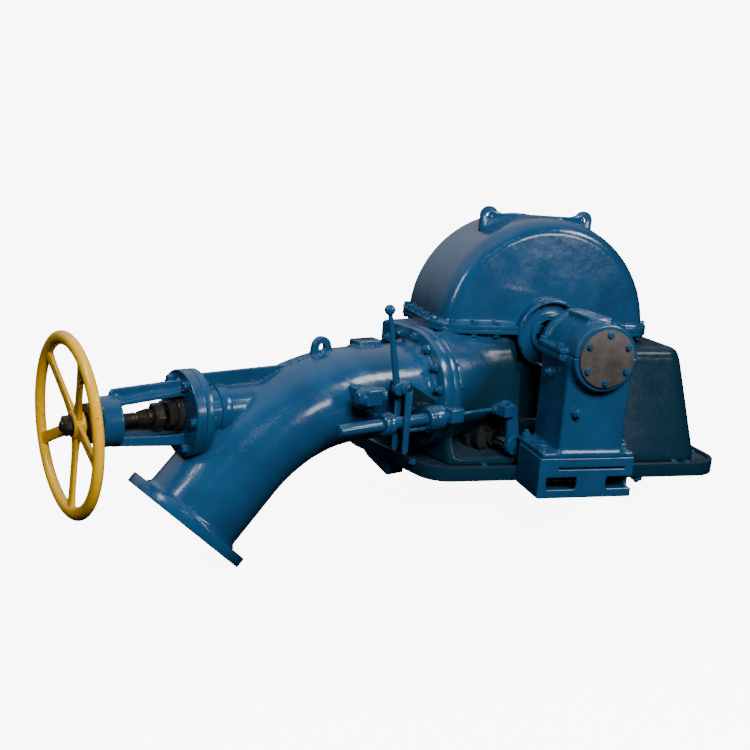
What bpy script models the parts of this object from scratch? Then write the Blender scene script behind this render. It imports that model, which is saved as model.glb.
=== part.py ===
"""Single-jet impulse water turbine with a hand-set needle and a deflector.

Metres, +Z up. The wheel shaft runs along Y, and the nozzle line comes in from
the left, turned in plan towards the front. Z = 0 is the underside of the base
flange, and the origin lies on it, under the shaft, in the flange's front band.
"""
import math

import bmesh
import bpy
from mathutils import Matrix, Vector

# Main lines of the machine, in metres; Y is counted from the nozzle line's
# crossing under the shaft, and the whole machine is moved back by ORIGIN_BACK
ORIGIN_BACK = 0.410
SHAFT_Z = 0.519
NOZZLE_Z = 0.303
NOZZLE_TURN = math.radians(22.0)
MID_Y = 0.040
GAP = 0.0003

# Base flange and lower casing
BASE_TOP = 0.055
BASE_FLOOR = 0.043
BASE_X = 0.720
BASE_HALF_Y = 0.492
BASE_CORNER = 0.120
BASE_LEFT_U = -0.645
BASE_LEFT_T = 0.300
BASE_BACK_X = -0.545
LIP_WIDTH = 0.018
WALL = 0.012
DRAIN = (0.335, -0.425)
DRAIN_STEP = 0.006
CASING_FOOT = (-0.500, 0.655, 0.430)
CASING_TOP = (-0.455, 0.600, 0.295)
SHOULDER_Z = 0.468
SPLIT_LOW = 0.516
SPLIT_Z = 0.532
SPLIT_TOP = 0.549
SPLIT_X = 0.475
SPLIT_HALF_Y = 0.283
SPLIT_CORNER = 0.150
RISER_INSET = 0.028
RECESS_X = 0.160
RECESS_HALF_Y = 0.247
RECESS_Z = 0.365
SEAL_R = 0.137

# Hood
HOOD_R = 0.4408
HOOD_FACE_R = 0.381
HOOD_HALF_Y = 0.247
HOOD_EDGE_Y = 0.1586
RIB_TOP = 0.963
RIB_HALF = 0.008
EAR_X = 0.204
EAR_Z = 0.951
EAR_R = 0.034
EAR_HOLE_R = 0.012

# Nozzle line, counted along its axis from the crossing under the shaft
CHEST_R = 0.212
CHEST_END = -0.200
MATE_BACK = -0.544
JOINT_U = -0.571
ELBOW_FLANGE_U = -0.616
FLANGE_R = 0.230
PIPE_R = 0.172
BORE_R = 0.157
BEND_DROP = math.radians(46.0)
BEND_CORNER_U = -1.150
BEND_R = 0.400
INLET_LENGTH = 0.526
INLET_FLANGE = 0.032
TUBE_R = 0.078
GUIDE_FLANGE_U = (-1.505, -1.480)
YOKE_FLANGE_U = -1.530
SMALL_FLANGE_R = 0.140
YOKE_NOSE_U = (-1.806, -1.722)
YOKE_NOSE_R = 0.078
WHEEL_U = -1.892
HUB_U = -1.866
WHEEL_R = 0.2645
RIM_R = 0.018
SPOKE_START = math.radians(-42.0)
ROD_R = 0.018
SCREW_R = 0.0145
DEFLECTOR_U = -0.320
DEFLECTOR_W = -0.180
DEFLECTOR_SHAFT_R = 0.022

# Deflector gear in front of the elbow, at this side offset from the line
GEAR_T = -0.266
BAR_W = -0.040
BAR_R = 0.0215
LEVER_PIVOT = (-0.842, 0.084)
CRANK_PIN = (-0.332, -0.040)

# Bearings, the same on both sides of the casing
BEARING_FAR = 0.660
BEARING_NEAR = 0.460
BRACKET_FAR = 0.685
BRACKET_X = 0.185
BRACKET_TOP = 0.150
COLUMN_X = 0.1225
BARREL_R = 0.118
COVER_R = 0.102
SHAFT_R = 0.035

BLUE = ((0.010, 0.088, 0.205), 0.22, 0.0)
YELLOW = ((0.780, 0.450, 0.020), 0.30, 0.0)
BLACK = ((0.020, 0.018, 0.015), 0.45, 0.6)
STEEL = ((0.420, 0.410, 0.390), 0.30, 1.0)
BROWN = ((0.085, 0.070, 0.062), 0.45, 0.2)
BRONZE = ((0.300, 0.200, 0.080), 0.40, 1.0)


def clear_scene():
    for item in list(bpy.data.objects):
        bpy.data.objects.remove(item, do_unlink=True)


def principled(name, finish):
    colour, roughness, metallic = finish
    made = bpy.data.materials.new(name)
    made.use_nodes = True
    shader = made.node_tree.nodes["Principled BSDF"]
    shader.inputs["Base Color"].default_value = (*colour, 1.0)
    shader.inputs["Roughness"].default_value = roughness
    shader.inputs["Metallic"].default_value = metallic
    return made


def place(name, bm, finish, parent):
    """Turn a closed bmesh into a named object with its own material."""
    bmesh.ops.remove_doubles(bm, verts=bm.verts, dist=1e-6)
    bmesh.ops.recalc_face_normals(bm, faces=bm.faces)
    mesh = bpy.data.meshes.new(name)
    bm.to_mesh(mesh)
    bm.free()
    mesh.shade_smooth()
    mesh.set_sharp_from_angle(angle=math.radians(35.0))
    item = bpy.data.objects.new(name, mesh)
    item.data.materials.append(principled(name + "_finish", finish))
    bpy.context.scene.collection.objects.link(item)
    item.parent = parent
    return item


def helper(bm, parent):
    """A hidden body that only shapes another one."""
    item = place("shape_tool", bm, BLUE, parent)
    item.hide_render = True
    item.display_type = "WIRE"
    return item


def combine(item, operation, tools):
    for tool in tools:
        step = item.modifiers.new(operation.title(), "BOOLEAN")
        step.operation = operation
        step.solver = "EXACT"
        step.object = tool
    return item


def fuse(item, *tools):
    return combine(item, "UNION", tools)


def cut(item, *tools):
    return combine(item, "DIFFERENCE", tools)


AXES = {"X": Matrix.Identity(4),
        "Y": Matrix.Rotation(math.radians(90.0), 4, "Z"),
        "Z": Matrix.Rotation(math.radians(-90.0), 4, "Y")}


def turned(profile, segments=32, axis="X", centre=(0.0, 0.0, 0.0), turn=0.0):
    """Body of revolution; profile lists (place along the axis, radius)."""
    bm = bmesh.new()
    rings = []
    for along, radius in profile:
        if radius < 1e-6:
            rings.append([bm.verts.new((along, 0.0, 0.0))])
            continue
        ring = []
        for i in range(segments):
            angle = turn + math.tau * i / segments
            ring.append(bm.verts.new((along, radius * math.cos(angle), radius * math.sin(angle))))
        rings.append(ring)
    pairs = list(zip(rings, rings[1:]))
    if len(rings[0]) > 1 or len(rings[-1]) > 1:
        pairs.append((rings[-1], rings[0]))
    for one, two in pairs:
        for i in range(segments):
            j = (i + 1) % segments
            corners = [one[i % len(one)], one[j % len(one)], two[j % len(two)], two[i % len(two)]]
            loop = list(dict.fromkeys(corners))
            if len(loop) > 2:
                bm.faces.new(loop)
    bmesh.ops.transform(bm, matrix=Matrix.Translation(Vector(centre)) @ AXES[axis], verts=bm.verts)
    return bm


def rod(low, high, radius, segments=24, axis="X", centre=(0.0, 0.0, 0.0), turn=0.0):
    return turned([(low, 0.0), (low, radius), (high, radius), (high, 0.0)], segments, axis, centre, turn)


def ring_body(low, high, inner, outer, segments=32, axis="X", centre=(0.0, 0.0, 0.0)):
    return turned([(low, inner), (low, outer), (high, outer), (high, inner)], segments, axis, centre)


def stack(layers):
    """Closed body through outlines of equal point count, each a list of (x, y, z)."""
    bm = bmesh.new()
    loops = [[bm.verts.new(point) for point in layer] for layer in layers]
    for one, two in zip(loops, loops[1:]):
        for i in range(len(one)):
            j = (i + 1) % len(one)
            bm.faces.new((one[i], one[j], two[j], two[i]))
    bm.faces.new(list(reversed(loops[0])))
    bm.faces.new(loops[-1])
    return bm


def slab(outline, low, high, axis="Z"):
    """Straight prism; the outline lies across the axis (x,z for Y and x,y for Z)."""
    def point(a, b, level):
        return (a, level, b) if axis == "Y" else (a, b, level)
    return stack([[point(a, b, low) for a, b in outline], [point(a, b, high) for a, b in outline]])


def block(low, high):
    return slab([(low[0], low[1]), (high[0], low[1]), (high[0], high[1]), (low[0], high[1])], low[2], high[2])


def rounded(points, radius, steps=4):
    """Round every corner of a convex outline with the same number of points."""
    out = []
    count = len(points)
    for i, corner in enumerate(points):
        here = Vector(corner)
        back = (Vector(points[i - 1]) - here).normalized()
        ahead = (Vector(points[(i + 1) % count]) - here).normalized()
        half = math.acos(max(-1.0, min(1.0, back.dot(ahead)))) / 2.0
        reach = radius / math.tan(half)
        centre = here + (back + ahead).normalized() * radius / math.sin(half)
        start = here + back * reach - centre
        sweep = start.angle_signed(here + ahead * reach - centre)
        for k in range(steps + 1):
            turn = Matrix.Rotation(-sweep * k / steps, 2)
            out.append(tuple(centre + turn @ start))
    return out


def rectangle(x_low, x_high, y_low, y_high):
    return [(x_low, y_low), (x_high, y_low), (x_high, y_high), (x_low, y_high)]


def on_line(u, t):
    """Plan point of a place on the nozzle line: u along it, t to its far side."""
    c, s = math.cos(NOZZLE_TURN), math.sin(NOZZLE_TURN)
    return (u * c - t * s, u * s + t * c)


def left_cut(u, y):
    """Where the plane across the nozzle line at u meets a line of constant y."""
    return (u - y * math.sin(NOZZLE_TURN)) / math.cos(NOZZLE_TURN)


def base_outline(inset, corner):
    x = BASE_X - inset
    back = MID_Y + BASE_HALF_Y - inset
    front = MID_Y - BASE_HALF_Y + inset
    u = BASE_LEFT_U + inset
    points = [(left_cut(u, front), front), (x, front), (x, back), (BASE_BACK_X + inset, back),
              on_line(u, BASE_LEFT_T - inset * 0.7)]
    return rounded(points, corner, 6)


def casing_layer(left, right, half_y, inset, corner, z):
    front = MID_Y - half_y + inset
    back = MID_Y + half_y - inset
    points = rectangle(left + inset, right - inset, front, back)
    return [(x, y, z) for x, y in rounded(points, corner, 5)]


def casing_layers(inset):
    """The tapered box of the lower casing, at a distance inside its outer skin."""
    return stack([
        casing_layer(*CASING_FOOT, inset, 0.090, BASE_FLOOR + GAP - (0.1 if inset else 0.0)),
        casing_layer(*CASING_FOOT, inset, 0.090, BASE_FLOOR + 0.02),
        casing_layer(*CASING_TOP, inset, 0.070, SHOULDER_Z - 0.030 - inset),
        casing_layer(*CASING_TOP, inset + 0.009, 0.065, SHOULDER_Z - 0.009 - inset),
        casing_layer(*CASING_TOP, inset + 0.030, 0.050, SHOULDER_Z - inset)])


def shoulder_layers(inset):
    """Box along the far side of the nozzle chest, with rounded upper edges; made in the nozzle frame."""
    layers = []
    foot = BASE_FLOOR + GAP - NOZZLE_Z - (0.1 if inset else 0.0)
    near = MATE_BACK + inset if inset else MATE_BACK - 0.02
    for w, shrink in ((foot, 0.0), (0.130 - inset, 0.0), (0.165 - inset, 0.008), (0.190 - inset, 0.030),
                      (0.202 - inset, 0.060)):
        points = rectangle(near, -0.20, -0.05, 0.262 - inset - shrink)
        layers.append([(u, t, w) for u, t in rounded(points, 0.030, 3)])
    return stack(layers)


def split_outline(inset):
    front = MID_Y - SPLIT_HALF_Y + inset
    back = MID_Y + SPLIT_HALF_Y - inset
    points = rectangle(-SPLIT_X + inset, SPLIT_X - inset, front, back)
    return rounded(points, SPLIT_CORNER - inset, 8)


def make_base(machine):
    """Base tray, open under the casing, with a step in its underside for the drain boss."""
    base = place("base_flange", slab(base_outline(0.0, BASE_CORNER), 0.0, BASE_TOP), BLUE, machine)
    pocket = helper(slab(base_outline(LIP_WIDTH, BASE_CORNER - LIP_WIDTH), BASE_FLOOR, 0.2), machine)
    front = MID_Y - CASING_FOOT[2] + 0.03
    back = MID_Y + CASING_FOOT[2] - 0.03
    hole = rounded([(left_cut(-0.51, front), front), (0.62, front), (0.62, back), (-0.47, back),
                    on_line(-0.51, 0.225)], 0.06)
    opening = helper(slab(hole, -0.1, 0.2), machine)
    drain_x, drain_y = DRAIN
    low = (drain_x - 0.030, drain_y - 0.100, -0.05)
    high = (drain_x + 0.030, drain_y + 0.030, DRAIN_STEP)
    step = helper(block(low, high), machine)
    return cut(base, pocket, opening, step)


def make_feet(machine, line):
    """The locating foot under the left end and the small drain boss at the right."""
    outline = [(0.206, -GAP), (0.178, -0.018), (0.079, -0.048), (0.045, -0.058), (0.045, -GAP)]
    bm = stack([[(-0.640, t, z - NOZZLE_Z) for t, z in outline], [(-0.560, t, z - NOZZLE_Z) for t, z in outline]])
    place("locating_foot", bm, BLUE, line)
    seat = DRAIN_STEP - GAP
    place("drain_boss", turned([(seat, 0.0), (seat, 0.022), (-0.018, 0.022), (-0.026, 0.014), (-0.028, 0.0)],
                               20, "Z", (*DRAIN, 0.0)), BLUE, machine)


def beyond_end_wall(u, line):
    return helper(block((u - 1.0, -1.5, -0.6), (u, 1.5, 0.6)), line)


def recesses(x_half, depth, floor, top, machine):
    """Pockets in the front and back walls that leave room for the seal housings."""
    made = []
    for side in (-1, 1):
        low, high = sorted((MID_Y + side * depth, MID_Y + side * (depth + 0.6)))
        made.append(helper(block((-x_half, low, floor), (x_half, high, top)), machine))
    return made


def seal_rooms(machine):
    """Round rooms outside the two flat faces, wide enough for the seal housings."""
    centre = (0.0, MID_Y, SHAFT_Z)
    room = helper(rod(-0.60, 0.60, SEAL_R + 0.0006, 32, "Y", centre), machine)
    return cut(room, helper(rod(-RECESS_HALF_Y - GAP, RECESS_HALF_Y + GAP, 0.20, 12, "Y", centre), machine))


def make_lower_casing(machine, line):
    casing = place("lower_casing", casing_layers(0.0), BLUE, machine)
    riser = helper(slab(split_outline(RISER_INSET), SHOULDER_Z - 0.05, SPLIT_LOW + 0.004), machine)
    shoulder = helper(shoulder_layers(0.0), line)
    split = helper(slab(split_outline(0.0), SPLIT_LOW, SPLIT_Z), machine)
    chest = helper(rod(MATE_BACK - 0.004, CHEST_END, CHEST_R, 40), line)
    mate = helper(rod(JOINT_U + GAP, MATE_BACK + 0.003, FLANGE_R, 40, turn=0.05), line)
    fuse(casing, riser, shoulder)
    cut(casing, beyond_end_wall(MATE_BACK, line), *recesses(RECESS_X, RECESS_HALF_Y, RECESS_Z, 0.60, machine))
    fuse(casing, split, chest, mate)
    inner = cut(helper(casing_layers(WALL), machine), beyond_end_wall(MATE_BACK + WALL, line),
                *recesses(RECESS_X + WALL, RECESS_HALF_Y - WALL, RECESS_Z - WALL, 0.61, machine))
    well = cut(helper(slab(split_outline(RISER_INSET + WALL), 0.20, 0.70), machine),
               *recesses(RECESS_X + WALL, RECESS_HALF_Y - WALL, RECESS_Z - WALL, 0.81, machine))
    inner_chest = helper(rod(MATE_BACK + WALL, CHEST_END - WALL, CHEST_R - WALL, 32), line)
    mouth = helper(rod(JOINT_U - 0.2, MATE_BACK + 0.1, BORE_R, 32, turn=0.03), line)
    shaft_way = helper(rod(-0.60, 0.60, 0.050, 24, "Y", (0.0, MID_Y, SHAFT_Z), 0.07), machine)
    gear_way = helper(rod(-0.33, 0.0, DEFLECTOR_SHAFT_R + 0.0003, 20, "Y", (DEFLECTOR_U, 0.0, DEFLECTOR_W)), line)
    inner_shoulder = helper(shoulder_layers(WALL), line)
    return cut(casing, inner, well, inner_shoulder, inner_chest, mouth, shaft_way, seal_rooms(machine), gear_way)


def hood_profile(inset):
    """Half section of the hood, from the axis of the front face to the back one."""
    points = []
    steps = 5
    for side in (-1, 1):
        arc = []
        for k in range(steps + 1):
            a = math.radians(90.0) * k / steps
            y = HOOD_EDGE_Y + (HOOD_HALF_Y - HOOD_EDGE_Y) * math.cos(a) - inset * math.cos(a)
            r = HOOD_FACE_R + (HOOD_R - HOOD_FACE_R) * math.sin(a) - inset * math.sin(a)
            arc.append((side * y, r))
        points += arc if side < 0 else arc[::-1]
    return [(points[0][0], 0.0)] + points + [(points[-1][0], 0.0)]


def make_hood(machine):
    centre = (0.0, MID_Y, SHAFT_Z)
    drum = helper(turned(hood_profile(0.0), 48, "Y", centre, 0.02), machine)
    hood = place("hood", slab(split_outline(0.0), SPLIT_Z + GAP, SPLIT_TOP), BLUE, machine)
    cut(drum, helper(block((-1.0, -1.0, -0.2), (1.0, 1.0, SPLIT_Z + 0.005)), machine))
    outline = [(-EAR_X - EAR_R, EAR_Z - 0.100), (-EAR_X - EAR_R + 0.004, EAR_Z + 0.010)]
    for k in range(6):
        a = math.radians(150.0 - 24.0 * k)
        outline.append((-EAR_X + EAR_R * math.cos(a), EAR_Z + EAR_R * math.sin(a)))
    outline += [(-EAR_X + EAR_R + 0.006, RIB_TOP)]
    outline += [(-x, z) for x, z in reversed(outline)]
    outline += [(EAR_X - 0.02, EAR_Z - 0.14), (-EAR_X + 0.02, EAR_Z - 0.14)]
    rib = helper(slab(outline, -RIB_HALF, RIB_HALF, "Y"), machine)
    holes = [helper(rod(-0.10, 0.10, EAR_HOLE_R, 12, "Y", (side * EAR_X, 0.0, EAR_Z)), machine) for side in (-1, 1)]
    inside = helper(turned(hood_profile(WALL), 40, "Y", centre, 0.05), machine)
    well = helper(slab(split_outline(RISER_INSET + WALL), SPLIT_Z - 0.05, SPLIT_TOP - 0.002), machine)
    shaft_way = helper(rod(-0.60, 0.60, 0.050, 24, "Y", centre, 0.07), machine)
    fuse(hood, drum, rib)
    return cut(hood, inside, well, shaft_way, seal_rooms(machine), *holes)


def make_seals(machine):
    for name, side in (("front", -1), ("rear", 1)):
        def at(depth):
            return MID_Y + side * (RECESS_HALF_Y + depth)
        profile = [(at(2 * GAP), 0.060), (at(2 * GAP), SEAL_R), (at(0.040), SEAL_R), (at(0.040), 0.123),
                   (at(0.015), 0.123), (at(0.015), 0.079), (at(0.033), 0.079), (at(0.033), 0.060)]
        place(name + "_seal_housing", turned(profile, 32, "Y", (0.0, 0.0, SHAFT_Z)), BLUE, machine)


def make_rotor(machine):
    """Main shaft with its driven end at the back, and the bucket wheel on it."""
    axis = bpy.data.objects.new("shaft_axis", None)
    bpy.context.scene.collection.objects.link(axis)
    axis.parent = machine
    axis.location = (0.0, MID_Y, SHAFT_Z)
    front = -BEARING_FAR + 0.010
    back = BEARING_FAR + 0.200
    profile = [(front, 0.0), (front, SHAFT_R), (-0.060, SHAFT_R), (-0.060, 0.045), (0.060, 0.045), (0.060, SHAFT_R),
               (back - 0.004, SHAFT_R), (back, SHAFT_R - 0.004), (back, 0.0)]
    place("main_shaft", turned(profile, 32, "Y"), STEEL, axis)
    disc_y = -0.030
    wheel = place("bucket_wheel", turned([(disc_y - 0.030, 0.0453), (disc_y - 0.030, 0.085), (disc_y - 0.010, 0.090),
                                          (disc_y - 0.010, 0.160), (disc_y + 0.022, 0.160), (disc_y + 0.022, 0.090),
                                          (disc_y + 0.030, 0.085), (disc_y + 0.030, 0.0453)], 36, "Y"), BRONZE, axis)
    buckets = 18
    for i in range(buckets):
        bm = bmesh.new()
        bmesh.ops.create_uvsphere(bm, u_segments=8, v_segments=6, radius=1.0)
        bmesh.ops.bisect_plane(bm, geom=bm.verts[:] + bm.edges[:] + bm.faces[:], plane_co=(0.12, 0.0, 0.0),
                               plane_no=(1.0, 0.0, 0.0), clear_outer=True)
        edge = [e for e in bm.edges if e.is_boundary]
        made = bmesh.ops.edgeloop_fill(bm, edges=edge)
        bmesh.ops.inset_region(bm, faces=made["faces"], thickness=0.16)
        bmesh.ops.translate(bm, verts=made["faces"][0].verts, vec=(-0.55, 0.0, 0.0))
        shape = Matrix.Diagonal((0.026, 0.048, 0.052, 1.0))
        spin = Matrix.Rotation(math.tau * i / buckets, 4, "Y")
        lean = Matrix.Translation((0.0, disc_y, -0.200))
        bmesh.ops.transform(bm, matrix=spin @ lean @ shape, verts=bm.verts)
        fuse(wheel, helper(bm, axis))
    return axis


def make_bearings(machine):
    for name, side in (("front", -1), ("rear", 1)):
        def at(distance):
            return MID_Y + side * distance
        near, far = at(BEARING_NEAR), at(BEARING_FAR)
        y_low, y_high = min(near, far), max(near, far)
        edge = at(BASE_HALF_Y + GAP)
        low, high = min(edge, at(BRACKET_FAR)), max(edge, at(BRACKET_FAR))
        bracket = place(name + "_bracket", block((-BRACKET_X, low, 0.0), (BRACKET_X, high, BRACKET_TOP)), BLUE, machine)
        inner_low, inner_high = sorted((at(BASE_HALF_Y + 0.012), at(BRACKET_FAR - 0.014)))
        hollow = helper(block((-BRACKET_X + 0.014, inner_low, 0.014), (BRACKET_X - 0.014, inner_high, 0.132)), machine)
        out_low, out_high = sorted((at(BRACKET_FAR - 0.03), at(BRACKET_FAR + 0.03)))
        windows = [helper(block((-0.154, out_low, 0.033), (-0.036, out_high, 0.078)), machine),
                   helper(block((0.080, out_low, 0.033), (0.210, out_high, 0.078)), machine),
                   helper(block((-0.112, out_low, 0.108), (0.150, out_high, 0.114)), machine)]
        cut(bracket, hollow, *windows)
        centre = (0.0, 0.0, SHAFT_Z)
        shaft_way = helper(rod(-2.0, 2.0, SHAFT_R + 0.001, 24, "Y", centre, 0.07), machine)
        pedestal = place(name + "_pedestal", block((-COLUMN_X, y_low, BRACKET_TOP + GAP), (COLUMN_X, y_high, 0.505)),
                         BLUE, machine)
        foot = helper(block((-0.178, y_low - 0.004, BRACKET_TOP + GAP), (0.178, y_high + 0.004, 0.168)), machine)
        inner_low, outer_high = sorted((at(BEARING_NEAR + 0.002), at(BEARING_FAR + 0.060)))
        barrel = helper(rod(inner_low, outer_high, BARREL_R, 40, "Y", centre, 0.04), machine)
        wings = helper(block((-0.142, y_low + 0.003, 0.494), (0.142, y_high - 0.003, SHAFT_Z + 0.02)), machine)
        above = helper(block((-0.3, -2.0, SHAFT_Z - GAP), (0.3, 2.0, 1.0)), machine)
        fuse(pedestal, foot, wings, barrel)
        cut(pedestal, above, shaft_way)
        cap = place(name + "_bearing_cap", rod(inner_low, outer_high, BARREL_R, 40, "Y", centre, 0.04), BLUE, machine)
        cap_wings = helper(block((-0.142, y_low + 0.003, SHAFT_Z - 0.02), (0.142, y_high - 0.003, SHAFT_Z + 0.018)),
                           machine)
        collar_low, collar_high = sorted((at(BEARING_NEAR), at(BEARING_NEAR + 0.030)))
        collar = helper(rod(collar_low, collar_high, 0.130, 40, "Y", centre, 0.09), machine)
        ridge = helper(block((-0.045, y_low + 0.008, SHAFT_Z - 0.05), (0.045, y_high - 0.008, SHAFT_Z + 0.124)), machine)
        below = helper(block((-0.3, -2.0, -0.2), (0.3, 2.0, SHAFT_Z)), machine)
        fuse(cap, cap_wings, collar, ridge)
        cut(cap, below, shaft_way)
        face_low, face_high = sorted((at(BEARING_FAR + 0.060 + GAP), at(BEARING_FAR + 0.070)))
        if side < 0:
            cover = rod(face_low, face_high, COVER_R, 40, "Y", centre)
        else:
            cover = ring_body(face_low, face_high, SHAFT_R + 0.002, COVER_R, 40, "Y", centre)
        place(name + "_bearing_cover", cover, BROWN, machine)


def bend_path():
    """Centre line of the elbow in the upright plane of the nozzle line, as (u, w, tangent)."""
    reach = BEND_R * math.tan(BEND_DROP / 2.0)
    stations = [(ELBOW_FLANGE_U + 0.01, 0.0, 0.0)]
    start = BEND_CORNER_U + reach
    steps = 7
    for k in range(steps + 1):
        a = BEND_DROP * k / steps
        stations.append((start - BEND_R * math.sin(a), -BEND_R * (1.0 - math.cos(a)), a))
    leg = INLET_LENGTH - 0.010
    end = (BEND_CORNER_U - leg * math.cos(BEND_DROP), -leg * math.sin(BEND_DROP))
    stations.append((end[0], end[1], BEND_DROP))
    return stations


def swept(radius, segments, stations, ahead=0.0, behind=0.0):
    """Round bar along the stations, lengthened at its outlet and inlet ends."""
    ends = []
    for (u, w, a), more in ((stations[0], ahead), (stations[-1], -behind)):
        ends.append((u + more * math.cos(a), w + more * math.sin(a), a))
    stations = [ends[0]] + stations[1:-1] + [ends[1]]
    layers = []
    for u, w, a in stations:
        layer = []
        for i in range(segments):
            b = math.tau * i / segments
            across = radius * math.cos(b)
            up = radius * math.sin(b)
            layer.append((u - up * math.sin(a), across, w + up * math.cos(a)))
        layers.append(layer)
    return stack(layers)


def make_elbow(line):
    """Bend with its outlet flange and top pad, and the straight inlet leg with its flange."""
    path = bend_path()
    bend, leg = path[:-1], path[-2:]
    elbow = place("inlet_elbow", swept(PIPE_R, 32, bend, 0.0, -GAP / 2.0), BLUE, line)
    outlet = helper(turned([(ELBOW_FLANGE_U - 0.030, 0.0), (ELBOW_FLANGE_U - 0.030, PIPE_R - 0.002),
                            (ELBOW_FLANGE_U - 0.012, PIPE_R + 0.012), (ELBOW_FLANGE_U, PIPE_R + 0.012),
                            (ELBOW_FLANGE_U, FLANGE_R), (JOINT_U, FLANGE_R), (JOINT_U, 0.0)], 40, turn=0.05), line)
    pad = helper(block((-0.850, -0.005, 0.150), (-0.746, 0.058, 0.192)), line)
    fuse(elbow, outlet, pad)
    rod_way = helper(rod(-1.8, -0.8, 0.030, 20, turn=0.11), line)
    cut(elbow, helper(swept(BORE_R, 24, bend, 0.2, 0.2), line), rod_way)
    straight = place("inlet_leg", swept(PIPE_R, 32, leg, -GAP / 2.0, 0.0), BLUE, line)
    far = -INLET_LENGTH
    inlet = turned([(far, 0.0), (far, FLANGE_R), (far + INLET_FLANGE, FLANGE_R), (far + INLET_FLANGE, PIPE_R + 0.010),
                    (far + INLET_FLANGE + 0.012, PIPE_R - 0.002), (far + INLET_FLANGE + 0.012, 0.0)], 40, turn=0.05)
    tilt = Matrix.Rotation(-BEND_DROP, 4, "Y")
    corner = Matrix.Translation((BEND_CORNER_U, 0.0, 0.0))
    bmesh.ops.transform(inlet, matrix=corner @ tilt, verts=inlet.verts)
    fuse(straight, helper(inlet, line))
    cut(straight, helper(swept(BORE_R, 24, leg, 0.2, 0.2), line), rod_way)


def make_guide_tube(line):
    """Tube that guides the needle rod, saddled on the elbow, with its top rib; and the lifting eye."""
    pipe_room = helper(swept(PIPE_R + GAP, 32, bend_path(), 0.0, 0.0), line)
    tube = place("guide_tube", turned([
        (GUIDE_FLANGE_U[0], 0.0), (GUIDE_FLANGE_U[0], SMALL_FLANGE_R), (GUIDE_FLANGE_U[1], SMALL_FLANGE_R),
        (GUIDE_FLANGE_U[1], 0.086), (-1.424, 0.086), (-1.418, TUBE_R), (-1.405, TUBE_R), (-1.400, 0.084),
        (-1.388, 0.084), (-1.383, TUBE_R), (-1.05, TUBE_R), (-1.05, 0.0)], 32, turn=0.03), BLUE, line)
    rib_outline = [(-1.468, 0.047), (-1.468, 0.124), (-1.130, 0.129), (-1.060, 0.136), (-1.060, 0.047)]
    rib = helper(slab(rib_outline, -0.009, 0.009, "Y"), line)
    rod_way = helper(rod(-1.8, -0.8, 0.030, 20, turn=0.11), line)
    fuse(tube, rib)
    cut(tube, pipe_room, rod_way)
    eye_outline = [(-1.060, 0.125), (-1.050, 0.170)]
    for k in range(7):
        a = math.radians(160.0 - 140.0 * k / 6.0)
        eye_outline.append((-1.010 + 0.038 * math.cos(a), 0.182 + 0.038 * math.sin(a)))
    eye_outline += [(-0.966, 0.168), (-0.962, 0.150), (-0.970, 0.120)]
    eye = place("lifting_eye", slab(eye_outline, -0.011, 0.011, "Y"), BLUE, line)
    cut(eye, pipe_room, helper(rod(-0.1, 0.1, 0.013, 12, "Y", (-1.010, 0.0, 0.182)), line))


def make_nozzle(line):
    """Mouthpiece that narrows to the jet, spigoted into the casing's mouth."""
    back, tip = JOINT_U + 0.010, -0.345
    fit = BORE_R - 0.0016
    profile = [(back, BORE_R - 0.018), (back, fit), (-0.520, fit), (-0.480, 0.130), (-0.370, 0.062),
               (tip, 0.052), (tip, 0.030), (-0.375, 0.040), (-0.480, 0.110), (-0.530, BORE_R - 0.018)]
    place("nozzle_mouthpiece", turned(profile, 24, turn=0.03), STEEL, line)


def make_yoke(line):
    """Open yoke that carries the screw: nose, two arms and a bolted flange."""
    yoke = place("yoke", turned([(YOKE_NOSE_U[0], 0.0), (YOKE_NOSE_U[0], YOKE_NOSE_R - 0.004),
                                 (YOKE_NOSE_U[0] + 0.004, YOKE_NOSE_R), (YOKE_NOSE_U[1], YOKE_NOSE_R),
                                 (YOKE_NOSE_U[1], 0.0)], 32), BLUE, line)
    flange = helper(rod(YOKE_FLANGE_U, GUIDE_FLANGE_U[0] - 2 * GAP, SMALL_FLANGE_R, 32, turn=0.03), line)
    arms = []
    for side in (1, -1):
        far = 0.100 if side > 0 else 0.084
        web = [(-1.778, 0.050), (-1.778, far - 0.012), (-1.768, far), (-1.515, 0.110), (-1.515, 0.080), (-1.730, 0.056)]
        sole = [(-1.760, 0.050), (-1.735, 0.069), (-1.515, 0.092), (-1.515, 0.064), (-1.545, 0.064), (-1.729, 0.051)]
        arms.append(helper(slab([(u, side * w) for u, w in web], -0.009, 0.009, "Y"), line))
        arms.append(helper(slab([(u, side * w) for u, w in sole], -0.034, 0.034, "Y"), line))
    way = helper(rod(-2.0, -1.4, 0.0264, 24, turn=0.07), line)
    fuse(yoke, flange, *arms)
    pipe_room = helper(swept(PIPE_R + 0.0010, 32, bend_path()), line)
    return cut(yoke, way, pipe_room)


def make_gland(line):
    seat = YOKE_FLANGE_U - GAP
    profile = [(-1.585, ROD_R + 0.001), (-1.585, 0.046), (seat, 0.046), (seat, 0.0255), (-1.470, 0.0255),
               (-1.470, ROD_R + 0.001)]
    place("gland", turned(profile, 24), BLACK, line)


def axis_empty(name, parent, location):
    """A moving piece's axis: the pieces that turn or slide on it are parented here."""
    item = bpy.data.objects.new(name, None)
    bpy.context.scene.collection.objects.link(item)
    item.parent = parent
    item.location = location
    return item


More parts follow.
